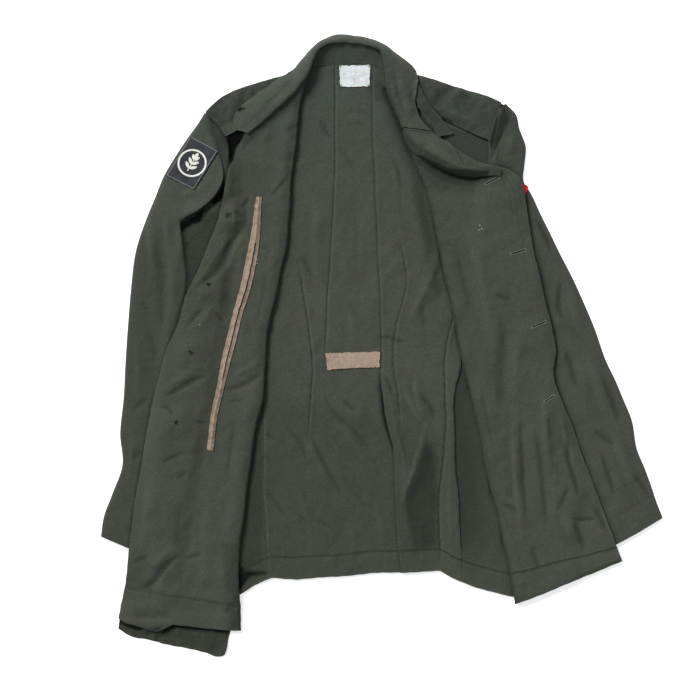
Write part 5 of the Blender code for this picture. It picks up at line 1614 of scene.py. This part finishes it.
def lay_front(name, rows, crease_rows, shadow_rows, seed):
    """A whole front: the lower part, the fold and the part that is turned out over the sleeve."""
    sections = front_sections(rows)
    fold, free = sections[:, 2:4], sections[:, 4:6]
    lower = LAID[name]
    width = mean_width(fold, free)
    places = np.concatenate([np.array([0.0, 1.5, 3.2, 5.2, 7.4]) / width,
                             np.linspace(9.8 / width, 1 - 3.2 / width, int(width / pitch()) - 5),
                             1 - np.array([1.4, 0.0]) / width])
    grid = spread(fold, free, places)
    if name == "right_front":
        from_hem = pitch() * np.arange(len(grid) - 1, -1, -1)[:, None]
        grid[..., 1] += course(HEM_WAVE, grid[..., 0]) * fading(from_hem, HEM_WAVE_REACH)
    x, y = grid[..., 0], grid[..., 1]
    away = np.hypot(x - x[:, :1], y - y[:, :1])
    edge = away[:, -1:] - away
    folds = sizes().crease * creases(x, y, crease_rows)
    relief = folds + sizes().crease * ruffle(x, y, seed, 0.32, lie=80.0)
    dark = shadowed(x, y, shadow_rows)
    x, y = wander(x, y)
    base = PILE.rest(x, y, reach=7.0)
    loft = lower[:, -1:, 2] + wall() + FRONT_LOFT
    base = np.maximum(base, base + (loft - base[:, :1]) * fading(away, LOFT_REACH))
    # Beside the fold and the free edge the cloth rolls down.
    down = 1.0 - fading(edge + 1.0, 9.0, 1)
    z = base + lifted(FLAP_LOFT, relief) * (0.15 + 0.85 * down) - FOLD_ROUND * fading(away, 6.5, 1.5)
    z = np.maximum(z, lower[:, -1:, 2] + wall() + 1.6)
    upper = stacked(x, y, z)
    PILE.add(x, y, z + wall())
    inner, outer = rolled_fold(lower[:, -1], upper[:, 0], unit(lower[:, -1, :2] - lower[:, -2, :2]))
    inner_face = np.concatenate([raised(lower, wall()), inner, upper], axis=1)
    outer_face = np.concatenate([lower, outer, raised(upper, wall())], axis=1)
    lead = inner_face.shape[1] - upper.shape[1]
    wear, shade = np.zeros(inner_face.shape[:2]), np.zeros(inner_face.shape[:2])
    hollow, ridge = worn(folds)
    free_pale, fold_pale, fold_shade, hem_shade = EDGE_WEAR_AND_SHADE[name]
    # Wear pales the free edge, the ridges and the fold. Painted shade lies in hollows, in the listed
    # shadows, along the fold and on the lower layers under the turned-out part.
    wear[:, lead:] = free_pale * fading(edge, 1.4, 1) + 0.30 * ridge + fold_pale * fading(away, 3.0, 1)
    shade[:, lead:] = np.maximum.reduce([HOLLOW_SHADE * hollow, dark, fold_shade * fading(away, 9.0, 1.5)])
    shade[:, :lead] = UNDER_SHADE
    under = shadowed(lower[..., 0], lower[..., 1], shadow_rows)
    shade[:, : lower.shape[1]] = np.maximum(UNDER_SHADE, under)
    made = cloth_piece(name, inner_face, outer_face, wear=wear, shade=shade, node=name)
    turned_up = slice(-int(FRONT_HEM_DEPTH / pitch()) - 1, None)
    hem = raised(upper[turned_up], wall() + 0.1)
    below = from_edges(hem)[2]
    # Painted shade along the sewn top edge of the turned-up hem.
    trim = cloth_piece(name + "_hem", hem, raised(hem, hem_wall(below, wall() * 0.8)), node=name + "_hem",
                       wear=wear[turned_up, lead:],
                       shade=np.maximum(shade[turned_up, lead:], hem_shade * fading(below, 1.2, 1)))
    PILE.add(hem[..., 0], hem[..., 1], hem[..., 2] + wall() * 0.8)
    sew("dark", hem[1, ::2, :2] + np.array([0.0, 0.3]), name + "_hem")


def sleeve_rim(low, top, column, neighbour, angles):
    """The rounded edge of a flat tube: a pair of columns of points, inside and outside, at each angle."""
    way = unit(low[:, column, :2] - low[:, neighbour, :2])
    space = (top[:, column, 2] - low[:, column, 2] - wall()) / 2
    middle = low[:, column, 2] + wall() + space
    faces = []
    for extra in (0.0, wall()):
        face = []
        for angle in np.radians(angles):
            flat = low[:, column, :2] + way * ((space + extra) * math.cos(angle))[:, None]
            face.append(np.column_stack([flat, middle + (space + extra) * math.sin(angle)]))
        faces.append(np.stack(face, axis=1))
    return faces


def lay_sleeve(name, rows, crease_rows, shadow_rows, turned_rows, seed):
    """A flat tube, from the armhole to the open cuff."""
    sections = along(rows, int(length_of(np.delete(table(rows), [2, 3], axis=1)) / pitch()) + 1)
    sections[:, 0:2] -= section_out(sections, slice(4, 6), slice(0, 2)) * SLEEVE_INSET
    outer, crease, inner = sections[:, 0:2], sections[:, 2:4], sections[:, 4:6]
    puff, drop = sections[:, 6:7], sections[:, 7:8]
    width = mean_width(outer, crease)
    outer_part = spread(outer, crease, np.concatenate([
        np.array([0.0, 1.6, 3.6, 6.0]) / width,
        np.linspace(9.0 / width, 1 - 2.0 / width, int(width / pitch()) - 4), [1.0]]))
    width = mean_width(crease, inner)
    inner_part = spread(crease, inner, np.concatenate([
        [0.02, 0.045, 0.08, 0.12], np.linspace(0.18, 0.94, int(width / pitch()) - 4), [0.975, 1.0]]))
    grid = np.concatenate([outer_part, inner_part], axis=1)
    x, y = grid[..., 0], grid[..., 1]
    low = stacked(x, y, PILE.rest(x, y))
    columns, edge = x.shape[1], outer_part.shape[1]
    span = np.linspace(0.0, 1.0, columns)[None, :]
    folds = sizes().crease * creases(x, y, crease_rows)
    relief = folds + sizes().crease * ruffle(x, y, seed, 0.30, lie=80.0)
    high = low[..., 2] + wall() + SLEEVE_EDGE_SPACE + puff * np.sin(np.pi * span) ** PUFF_POWER
    high += lifted(SLEEVE_LOFT, relief) * np.sin(np.pi * span) ** FOLD_POWER
    high[:, :edge] += drop * (DROP_OUTSIDE + (1 - DROP_OUTSIDE) * np.linspace(0.0, 1.0, edge)[None, :])
    high[:, edge : edge + len(DROP_INSIDE)] += drop * DROP_INSIDE
    top = stacked(x, y, high)
    PILE.add(x, y, high + wall())
    far_in, far_out = sleeve_rim(low, top, columns - 1, columns - 2, (-45.0, 0.0, 45.0))
    near_in, near_out = sleeve_rim(low, top, 0, 1, (45.0, 0.0, -45.0))
    inner_low, outer_top = raised(low, wall()), raised(top[:, ::-1], wall())
    inside = np.concatenate([inner_low, far_in, top[:, ::-1], near_in, inner_low[:, :1]], axis=1)
    outside = np.concatenate([low, far_out, outer_top, near_out, low[:, :1]], axis=1)
    wear, shade = np.zeros(inside.shape[:2]), np.zeros(inside.shape[:2])
    topmost = slice(columns + 3, 2 * columns + 3)
    from_crease = np.hypot(x - x[:, edge - 1 : edge], y - y[:, edge - 1 : edge])
    gap = np.clip(drop / 8.0, 0, 1) * fading(from_crease, 9.0)
    gap[:, :edge] = 0.0
    hollow, ridge = worn(folds)
    free_edge = table([row[4:6] for row in turned_rows])
    # Painted shade in hollows, in the gap under the step where the upper cloth folds along the crease, in
    # the shadow of the front's free edge, and in the listed shadows.
    shade[:, topmost] = np.maximum.reduce([
        HOLLOW_SHADE * hollow, 0.8 * gap, 0.55 * fading(from_line(x, y, free_edge)[0], 4.5, 1.4),
        shadowed(x, y, shadow_rows)])[:, ::-1]
    wear[:, topmost] = (0.32 * ridge + 0.25 * (1 - span) ** 24)[:, ::-1]
    made = cloth_piece(name, inside, outside, loop=True, wear=wear, shade=shade, node=name)


def lay_band(name, rows, crease_rows, shadow_rows, seed, ruffled):
    """A rolled band of doubled cloth, with a lip that turns down along its inner edge."""
    sections = along(rows, int(length_of(rows) / (pitch() * 0.75)) + 1)
    columns = max(12, int(mean_width(sections[:, 0:2], sections[:, 2:4]) / (pitch() * 0.7)))
    across = np.linspace(0, 1, columns)[None, :]
    grid = spread(sections[:, 0:2], sections[:, 2:4], across[0])
    inward = section_out(sections, slice(2, 4), slice(0, 2))
    inner_z, crest, outer_z, lip = (sections[:, i : i + 1] for i in range(4, 8))
    rise = inner_z * (1 - across) + outer_z * across + crest * 4 * across * (1 - across)
    rolled, fall = [], []
    for angle in LIP_ANGLES:
        turn = math.radians(angle)
        rolled.append(grid[:, :1] + (inward * LIP_OUT * LIP_SHARE * math.sin(turn))[:, None, :])
        fall.append(rise[:, :1] - np.maximum(lip, LIP_LEAST) * (1 - math.cos(turn)))
    grid = np.concatenate(rolled + [grid], axis=1)
    rise = np.concatenate(fall + [rise], axis=1)
    x, y = wander(grid[..., 0], grid[..., 1])
    base = PILE.rest(x, y, reach=3.0)
    folds = sizes().crease * creases(x, y, crease_rows)
    relief = folds + sizes().crease * ruffle(x, y, seed, ruffled, lie=60.0, spacing=20.0)
    rise = rise + relief * np.sin(np.pi * np.linspace(0.08, 0.92, x.shape[1]))[None, :]
    points = stacked(x, y, base + lifted(0.0, rise - base))
    top = points + facing(points) * COLLAR_WALL
    hollow, ridge = worn(folds)
    outer = np.clip(1.7 * np.linspace(0.0, 1.0, x.shape[1])[None, :] - 0.7, 0.0, 1.0)
    at_neck = 1.0 / (1.0 + np.exp((NECK_Y - y) / 6.0))
    wear = 0.22 + 0.45 * fading(from_edges(points)[0], 2.2, 1) + 0.4 * ridge + 0.55 * outer * at_neck
    # Painted shade in hollows and the listed shadows, darkest on the turned-down lip.
    shade = np.maximum(HOLLOW_SHADE * hollow, shadowed(x, y, shadow_rows))
    lip_part = shade[:, : len(LIP_SHADE)]
    lip_part[:] = np.maximum(lip_part, LIP_SHADE)
    made = cloth_piece(name, points, top, wear=wear, shade=shade, node=name)
    PILE.add(x, y, top[..., 2])


def lay_stand():
    """The stand of the collar, from the neck seam of the back up to the roll."""
    sections = along(COLLAR_STAND, 44)
    order = np.argsort(LAID["neck"][0])
    neck = [values[order] for values in LAID["neck"]]
    sections[:, 1] = np.interp(sections[:, 0], *neck) + STAND_LEAN
    sections[:, 3] += STAND_TUCK
    sections[0, [0, 2]] -= STAND_TUCK
    places = np.linspace(0, 1, 12)
    grid = spread(sections[:, 0:2], sections[:, 2:4], places)
    t = places[None, :]
    z = 0.6 + sections[:, 4:5] * (STAND_EVEN * t + (1 - STAND_EVEN) * t**2) * 0.96
    x, y = grid[..., 0], grid[..., 1]
    z = z + 0.35 * ruffle(x, y, 12, 0.5, lie=0.0, spacing=18.0)
    points = stacked(x, y, np.maximum(z, 0.3))
    made = cloth_piece("collar_stand", points, points + facing(points) * wall(), node="collar_stand",
                       wear=0.5 * fading(from_edges(points)[0], 2.0, 1))
    PILE.add(x, y, z + wall())
    sew("dark", points[:, 1, :2] + np.array([0.0, 0.6]), "collar_stand")


def lay_rows(name, rows, crease_rows, shadow_rows, seed, thick=None, ruffled=0.5, loft=0.3):
    """A sheet between the two edges of a table."""
    sections = along(rows, int(length_of(rows) / pitch()) + 2)
    first, second = sections[:, 0:2], sections[:, 2:4]
    columns = max(5, int(mean_width(first, second) / pitch()) + 1)
    grid = spread(first, second, np.linspace(0, 1, columns))
    x, y = grid[..., 0], grid[..., 1]
    uneven = creases(x, y, crease_rows) + ruffle(x, y, seed, ruffled, lie=60.0, spacing=22.0)
    edge = from_edges(stacked(x, y, x * 0))[0]
    lay_strip(name, grid, cloth_look(), thick or wall(), loft + sizes().crease * uneven,
              shadowed(x, y, shadow_rows), wear=0.4 * fading(edge, 2.0, 1), node=name, gap=LAY_GAP,
              reach=4.0)

# Small pieces ----------


def prototype(make):
    """Points and faces of a shape that is made at the origin and then taken away."""
    bpy.ops.object.select_all(action="DESELECT")
    make()
    made = bpy.context.active_object
    mesh = made.data
    points = np.array([vert.co[:] for vert in mesh.vertices])
    faces = [tuple(face.vertices) for face in mesh.polygons]
    bpy.data.objects.remove(made, do_unlink=True)
    return points, faces


def make_stitch():
    """A stitch of length one along x and thickness one."""
    along_x = (0.0, math.radians(90), 0.0)
    bpy.ops.mesh.primitive_uv_sphere_add(segments=6, ring_count=4, radius=0.5, rotation=along_x)
    bpy.ops.object.transform_apply(location=False, rotation=True, scale=True)


def build_stitches():
    """Each group of stitches is one mesh: the stitch, copied from end to end of every place."""
    proto, faces = prototype(make_stitch)
    looks = {
        "dark": (thread_look("sewing_thread", colours().thread), 1.0),
        "pale": (thread_look("pale_thread", colours().pale), 0.85),
        "tan": (thread_look("tan_thread", shaded(colours().tape, 0.8)), 0.9),
        "white": (thread_look("white_thread", colours().motif), 1.3),
        "patch": (thread_look("grey_thread", (0.36, 0.37, 0.38)), 1.25),
        "knot": (thread_look("knot_thread", colours().knot), 1.6),
    }
    for (thread, cloth), groups in STITCHES.items():
        look, share = looks[thread]
        ends = (np.concatenate(groups) - SHIFT) * MM
        start, end = ends[:, 0], ends[:, 1]
        size = np.linalg.norm(end - start, axis=1, keepdims=True)
        way = (end - start) / np.maximum(size, 1e-9)
        side = unit(np.cross([0.0, 0.0, 1.0], way))
        up = np.cross(way, side)
        thick = sizes().thread * share
        points = ((start + end) / 2)[:, None, :] + (
            proto[None, :, 0:1] * (size * 1.1)[:, None, :] * way[:, None, :]
            + proto[None, :, 1:2] * thick * side[:, None, :]
            + proto[None, :, 2:3] * thick * 0.8 * up[:, None, :])
        copies = [tuple(v + k * len(proto) for v in face) for k in range(len(ends)) for face in faces]
        made = mesh_object(f"stitches_{thread}_{cloth}", points.reshape(-1, 3), copies, look)
        sewn_on(cloth, made.name)


def buttonhole_outline(length):
    """Edge of a keyhole slit along x: two straight sides, an eye at the far end and a round near end."""
    sides = np.linspace(0, 1, 26) * length * 0.86
    eye, end = np.radians(np.linspace(110, -110, 16)), np.radians(np.linspace(-100, -260, 6))
    return np.concatenate([
        np.column_stack([sides, np.full(26, HOLE_HALF)]),
        np.column_stack([length * 0.90 + HOLE_EYE * np.cos(eye), HOLE_EYE * np.sin(eye)]),
        np.column_stack([sides[::-1], np.full(26, -HOLE_HALF)]),
        np.column_stack([HOLE_HALF * np.cos(end), HOLE_HALF * np.sin(end)])])


def sew_buttonholes(cloth):
    """A ring of close stitches round a slit that ends in an eye, with a thin dark sheet in the slit as
    painted shadow.
    """
    for index, hole in enumerate(BUTTONHOLES):
        (x0, y0), (x1, y1) = course_of(hole)
        length = math.hypot(x1 - x0, y1 - y0)
        ux, uy = (x1 - x0) / length, (y1 - y0) / length

        def on_cloth(flat, above):
            x = x0 + flat[..., 0] * ux - flat[..., 1] * uy
            y = y0 + flat[..., 0] * uy + flat[..., 1] * ux
            return stacked(x, y, PILE.read(x, y) + above)

        outline = buttonhole_outline(length)
        out = sideways(outline)
        ends = [on_cloth(outline + out * reach, 0.15) for reach in (-0.15, 0.85)]
        stitched("pale", cloth, np.stack(ends, axis=1))
        # The slit is a nearly black sheet: painted shadow in the opening.
        places = np.linspace(0.02, 0.97, 14)
        half = np.where(places < 0.84, *SLIT_HALF)
        slit = np.stack([np.column_stack([places * length, half * way]) for way in (-1.0, 1.0)], axis=1)
        low = on_cloth(slit, -0.25)
        cloth_piece(f"buttonhole_slit_{index + 1}", low, raised(low, 0.32), slit_look())
        sewn_on(cloth, f"buttonhole_slit_{index + 1}")


def tie_knots(cloth):
    """Ends of thread that stand up where each button is sewn on."""
    random = np.random.default_rng(21)
    for x, y in course_of(KNOTS):
        ends = []
        for _ in range(13):
            start = np.array([x, y, PILE.at(x, y)]) + random.normal(0, 1.0, 3) * (1, 1, 0)
            way = random.normal(0, 1, 3)
            way[2] = abs(way[2]) * 0.35
            way *= random.uniform(2.2, 5.0) / np.linalg.norm(way)
            ends.append([start + (0, 0, 0.2), start + way + (0, 0, 0.4)])
        stitched("knot", cloth, ends)


def dot_threads():
    """Single white stitches that show through."""
    random = np.random.default_rng(5)
    for cloth, x, y in WHITE_DOTS:
        turn = random.uniform(0, math.pi)
        way = np.array([math.cos(turn), math.sin(turn), 0.0]) * 0.9
        at = np.array([x, y, PILE.at(x, y) + 0.1])
        stitched("white", cloth, [[at - way, at + way]])


def make_button():
    """A disc with a rolled rim, a sunk face and a sunk middle."""
    bpy.ops.mesh.primitive_cylinder_add(vertices=40, radius=0.01, depth=0.003)
    made = bpy.context.active_object
    bpy.ops.object.mode_set(mode="EDIT")
    bpy.ops.mesh.select_mode(type="FACE")
    bpy.ops.mesh.select_all(action="DESELECT")
    bpy.ops.object.mode_set(mode="OBJECT")
    for face in made.data.polygons:
        face.select = face.normal.z > 0.9
    bpy.ops.object.mode_set(mode="EDIT")
    for inset, sunk in ((0.0018, 0.0007), (0.0022, 0.0003)):
        bpy.ops.mesh.inset(thickness=inset)
        bpy.ops.transform.translate(value=(0.0, 0.0, -sunk))
    bpy.ops.object.mode_set(mode="OBJECT")
    bevel = made.modifiers.new("rim", "BEVEL")
    bevel.width = 0.0005
    bevel.segments = 2
    bpy.ops.object.modifier_apply(modifier=bevel.name)


def lay_buttons():
    """Each button lies under the turned-out right front, sewn with two bars of thread."""
    points, faces = prototype(make_button)
    for index, (x, y) in enumerate(BUTTONS):
        node = f"button_{index + 1}"
        reach = np.linspace(-10.0, 10.0, 3)
        gx, gy = np.meshgrid(x + reach, y + reach)
        z = max(float(PILE.rest(gx, gy).max()), np.array(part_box(node)[0])[2] / MM) + 1.5
        place = (np.array([x, y, z]) - SHIFT) * MM
        made = mesh_object(f"button_shown_{index + 1}", points + place, faces, button_look())
        made.data.set_sharp_from_angle(angle=math.radians(40))
        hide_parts(node)
        PILE.add(gx, gy, np.full_like(gx, z + 1.6))
        for bar_y in (y - 1.6, y + 1.6):
            stitched("knot", "right_front", [[(x - 2.2, bar_y, z + 0.7), (x + 2.2, bar_y, z + 0.7)]])


def embroider_patch(corners, parent):
    """A plain ring round a sprig of leaves, in flat satin stitch."""
    look = thread_look("motif_thread", colours().motif, 0.6)
    size = (np.linalg.norm(corners[1] - corners[0]), np.linalg.norm(corners[3] - corners[0]))

    def satin(name, centre_line, widths, closed=False):
        line = four_sided(corners, *(0.5 + centre_line / size).T[..., None])
        out = sideways(line, closed)
        half = np.array(widths)[:, None] / 2
        grid = spread(line - out * half, line + out * half, np.linspace(0, 1, 5))
        x, y = grid[..., 0], grid[..., 1]
        low = stacked(x, y, PILE.read(x, y) + 0.05)
        dome = 0.25 + 0.35 * np.sin(np.pi * np.linspace(0.1, 0.9, 5))[None, :] * np.ones((len(line), 1))
        cloth_piece(name, low, raised(low, dome), look)
        sewn_on(parent, name)

    turn = np.linspace(0, 2 * math.pi, 73)
    ring = np.column_stack([np.cos(turn), np.sin(turn)]) * MOTIF_RADIUS
    satin("patch_ring", ring, [2.6] * len(ring), closed=True)
    stem = np.array([(0.0, y) for y in np.linspace(13.0, -11.0, 14)])
    satin("patch_stem", stem, np.linspace(1.7, 0.9, len(stem)))
    share = np.linspace(0, 1, 9)
    for index, (base, angle, length) in enumerate(LEAVES):
        way = np.array([math.cos(math.radians(angle)), -math.sin(math.radians(angle))])
        leaf = np.array([0.0, base]) + way * (share * length)[:, None]
        widths = 0.5 + 4.2 * np.sin(np.pi * np.clip(share, 0.04, 0.97)) ** 0.8
        satin(f"patch_leaf_{index + 1}", leaf, widths)


def build_fringe(cloth, line, count, seed):
    """Loose threads along a raw edge."""
    random = np.random.default_rng(seed)
    (x0, y0), (x1, y1) = course_of(line)
    ends = []
    for _ in range(count):
        share = random.uniform()
        x, y = x0 + (x1 - x0) * share, y0 + (y1 - y0) * share
        z = PILE.at(x, y + 2.0) + random.uniform(0.0, 0.6)
        turn = math.radians(random.normal(-90, 40))
        size = random.uniform(2.0, 6.0)
        at = np.array([x, y, z])
        way = np.array([math.cos(turn) * size, math.sin(turn) * size, random.uniform(-0.4, 0.3)])
        ends.append([at, at + way])
    stitched("dark", cloth, ends)


def lay_tape():
    """Two narrow tapes side by side, which part in the middle and are joined by two seams."""
    sections = along(FRONT_TAPE, int(length_of(FRONT_TAPE) / pitch()) + 1)
    first, second = sections[:, 0:2], sections[:, 2:4]
    share = np.linspace(0, 1, len(sections))
    split = 0.6 + 0.04 * np.sin(share * 9.0)
    open_by = 0.055 * ((share > TAPE_SPLIT[0]) & (share < TAPE_SPLIT[1])) + 0.02
    inner_left = first + (second - first) * (split - open_by)[:, None]
    inner_right = first + (second - first) * (split + open_by)[:, None]
    tan = woven("tan_twill", colours().tape)
    worn_tan = woven("tan_tape_worn", shaded(colours().tape, 0.72), fade=1.6, slub=2.0)
    for name, one, two, seed, look, node in (("front_tape_a", first, inner_left, 71, tan, "front_tape"),
                                             ("front_tape_b", inner_right, second, 72, worn_tan, None)):
        grid = spread(one, two, np.linspace(0, 1, 5))
        relief = 0.25 + 0.2 * ruffle(grid[..., 0], grid[..., 1], seed, 1.0, lie=10.0, spacing=9.0)
        for join in TAPE_JOINS:
            relief = relief + 0.5 * fading(share - join, 0.006)[:, None]
        # Dips of the tape get painted shade.
        low = lay_strip(name, grid, look, PATCH_WALL * 0.8, relief, 0.25 * np.clip(-relief + 0.2, 0, 1),
                        reach=1.5, node=node, parent="right_front")[1]
        sew("tan", low[:, 1, :2], "right_front", step=4.2)


# Operators ----------


class BuildStage(bpy.types.Operator):
    """Camera straight above, pale floor and soft light"""

    bl_idname = "bush_shirt.stage"
    bl_label = "Stage"

    def execute(self, context):
        scene = context.scene
        centre = (np.array([*PHOTO_CENTRE, 0.0]) - SHIFT) * MM
        camera = bpy.data.objects.new("camera", bpy.data.cameras.new("camera"))
        scene.collection.objects.link(camera)
        camera.data.lens, camera.data.sensor_width = LENS, SENSOR
        height = PHOTO_SIDE * PHOTO_SCALE * MM * LENS / SENSOR
        camera.location = (centre[0], centre[1], height)
        camera.data.clip_end = 20.0
        scene.camera = camera
        bpy.ops.object.select_all(action="DESELECT")
        bpy.ops.mesh.primitive_plane_add(size=9.0, location=(centre[0], centre[1], -0.0006))
        floor = context.active_object
        floor.name = "floor"
        bpy.ops.object.transform_apply(location=True)
        paper, tree, shader = new_look("white_paper")
        grain = noise(tree, tree.nodes.new("ShaderNodeTexCoord").outputs["Object"], 4.0)
        # The backdrop glows a little, so that shadows on it stay faint.
        shader.inputs["Emission Color"].default_value = (1.0, 1.0, 1.0, 1.0)
        shader.inputs["Emission Strength"].default_value = 0.55
        white = mixed(tree, grain, (0.90, 0.90, 0.90), (0.93, 0.93, 0.93))
        tree.links.new(white, shader.inputs["Base Color"])
        shader.inputs["Roughness"].default_value = 0.9
        floor.data.materials.append(paper)
        world = bpy.data.worlds.new("studio")
        world.use_nodes = True
        background = world.node_tree.nodes["Background"]
        background.inputs["Color"].default_value = (0.95, 0.98, 1.0, 1.0)
        background.inputs["Strength"].default_value = 0.42
        scene.world = world
        key = bpy.data.objects.new("key", bpy.data.lights.new("key", "SUN"))
        key.data.energy, key.data.angle = 3.2, math.radians(22.0)
        key.rotation_euler = (math.radians(-32.0), math.radians(-36.0), 0.0)
        scene.collection.objects.link(key)
        scene.view_settings.view_transform = "Standard"
        return {"FINISHED"}


class BuildBack(bpy.types.Operator):
    """The five panels of the back, their hem, darts and pleat, with the waist patch and neck label"""

    bl_idname = "bush_shirt.back"
    bl_label = "Back"

    def execute(self, context):
        lay_back()
        tan = woven("tan_twill", colours().tape, ribs=480.0, fade=0.35, slub=1.6, depth=0.5)
        made, corners = lay_quad("waist_patch", WAIST_PATCH, tan, PATCH_WALL, 31, 0.35)
        sew("tan", around(corners, 2.0), made.name)
        white = woven("label_cotton", colours().label, ribs=700.0, fade=0.1, slub=0.5, depth=0.3)
        made, corners = lay_quad("neck_label", NECK_LABEL, white, PATCH_WALL * 0.8, 32, 0.3)
        for x, y in corners + (corners.mean(axis=0) - corners) * 0.07:
            sew("knot", np.array([(x - 2.2, y), (x + 2.2, y)]), made.name, step=1.0)
            sew("knot", np.array([(x, y - 2.2), (x, y + 2.2)]), made.name, step=1.0)
        return {"FINISHED"}


class BuildShoulders(bpy.types.Operator):
    """The lower parts of the fronts and the shoulders"""

    bl_idname = "bush_shirt.shoulders"
    bl_label = "Shoulders"

    def execute(self, context):
        lay_front_lower("right_front", RIGHT_FRONT, 41)
        lay_front_lower("left_front", LEFT_FRONT, 42)
        lay_rows("right_yoke", RIGHT_YOKE, RIGHT_YOKE_CREASES, RIGHT_YOKE_SHADOWS, 43)
        lay_rows("left_yoke", LEFT_YOKE, LEFT_YOKE_CREASES, LEFT_YOKE_SHADOWS, 44, loft=2.0)
        return {"FINISHED"}


class BuildSleeves(bpy.types.Operator):
    """Both sleeves with their cuffs, and the patches on them"""

    bl_idname = "bush_shirt.sleeves"
    bl_label = "Sleeves"

    def execute(self, context):
        lay_sleeve("right_sleeve", RIGHT_SLEEVE, RIGHT_SLEEVE_CREASES, RIGHT_SLEEVE_SHADOWS,
                   RIGHT_FRONT, 51)
        lay_sleeve("left_sleeve", LEFT_SLEEVE, LEFT_SLEEVE_CREASES, LEFT_SLEEVE_SHADOWS,
                   LEFT_FRONT, 52)
        for cloth, lines in (("right_sleeve", RIGHT_CUFF_LINES), ("left_sleeve", LEFT_CUFF_LINES)):
            for line in lines:
                sew("dark", line, cloth)
        sew("dark", ARMPIT_SEAM, "right_sleeve")
        slate = woven("slate_twill", colours().patch, ribs=420.0, fade=1.6, slub=1.8, depth=0.5)
        made, corners = lay_quad("sleeve_patch", SLEEVE_PATCH, slate, PATCH_WALL, 53, 0.3)
        sew("patch", around(corners, 0.8), made.name, step=2.4, share=0.95, above=0.2)
        embroider_patch(corners, made.name)
        red = woven("red_felt", colours().red, ribs=300.0, fade=0.2, slub=1.2, depth=0.6)
        lay_quad("red_patch", RED_PATCH, red, PATCH_WALL, 54, 0.5)
        return {"FINISHED"}


class BuildFronts(bpy.types.Operator):
    """Both fronts turned out over the sleeves, with buttons, buttonholes and the doubled tape"""

    bl_idname = "bush_shirt.fronts"
    bl_label = "Fronts"

    def execute(self, context):
        lay_buttons()
        lay_rows("right_underhem", RIGHT_UNDERHEM, (), UNDERHEM_SHADOWS, 61, ruffled=0.8)
        lay_front("right_front", RIGHT_FRONT, RIGHT_FRONT_CREASES, RIGHT_FRONT_SHADOWS, 62)
        lay_front("left_front", LEFT_FRONT, LEFT_FRONT_CREASES, LEFT_FRONT_SHADOWS, 63)
        sew("dark", RIGHT_NECK_LINE, "right_front")
        for line in (LEFT_FOLD_LINE, *LEFT_CORNER_LINES):
            sew("dark", line, "left_front")
        sew_buttonholes("left_front")
        tie_knots("right_front")
        lay_tape()
        dot_threads()
        build_fringe("right_front", RAW_EDGE, 40, 64)
        return {"FINISHED"}


class BuildCollar(bpy.types.Operator):
    """The stand, the rolled collar, its point and the left lapel"""

    bl_idname = "bush_shirt.collar"
    bl_label = "Collar"

    def execute(self, context):
        lay_stand()
        lay_rows("collar_point", COLLAR_POINT, (), COLLAR_POINT_SHADOWS, 81, COLLAR_WALL,
                 ruffled=0.3)
        lay_band("collar", COLLAR, COLLAR_CREASES, COLLAR_SHADOWS, 82,
                 0.30)
        lay_band("left_lapel", LEFT_LAPEL, LAPEL_CREASES, LAPEL_SHADOWS, 83,
                 0.12)
        sew("dark", LAPEL_SEAM, "left_lapel")
        return {"FINISHED"}


class BuildSewing(bpy.types.Operator):
    """Every row of stitches, one mesh for each thread and cloth"""

    bl_idname = "bush_shirt.sewing"
    bl_label = "Sewing"

    def execute(self, context):
        build_stitches()
        return {"FINISHED"}


STEPS = (BuildStage, BuildBack, BuildShoulders, BuildSleeves, BuildFronts, BuildCollar, BuildSewing)


class ShirtPanel(bpy.types.Panel):
    """Sizes, colours and steps of the bush shirt"""

    bl_idname = "VIEW3D_PT_bush_shirt"
    bl_label = "Bush shirt"
    bl_space_type = "VIEW_3D"
    bl_region_type = "UI"
    bl_category = "Bush shirt"

    def draw(self, context):
        for group in (context.scene.shirt_sizes, context.scene.shirt_colours):
            box = self.layout.box()
            for name in group.__annotations__:
                box.prop(group, name)
        for step in STEPS:
            self.layout.operator(step.bl_idname)


CLASSES = (ShirtSizes, ShirtColours, *STEPS, ShirtPanel)


def register():
    for item in CLASSES:
        bpy.utils.register_class(item)
    bpy.types.Scene.shirt_sizes = bpy.props.PointerProperty(type=ShirtSizes)
    bpy.types.Scene.shirt_colours = bpy.props.PointerProperty(type=ShirtColours)


def unregister():
    del bpy.types.Scene.shirt_sizes
    del bpy.types.Scene.shirt_colours
    for item in reversed(CLASSES):
        bpy.utils.unregister_class(item)


def main():
    register()
    bpy.ops.bush_shirt.stage()
    bpy.ops.bush_shirt.back()
    bpy.ops.bush_shirt.shoulders()
    bpy.ops.bush_shirt.sleeves()
    bpy.ops.bush_shirt.fronts()
    bpy.ops.bush_shirt.collar()
    bpy.ops.bush_shirt.sewing()


if __name__ == "__main__":
    main()
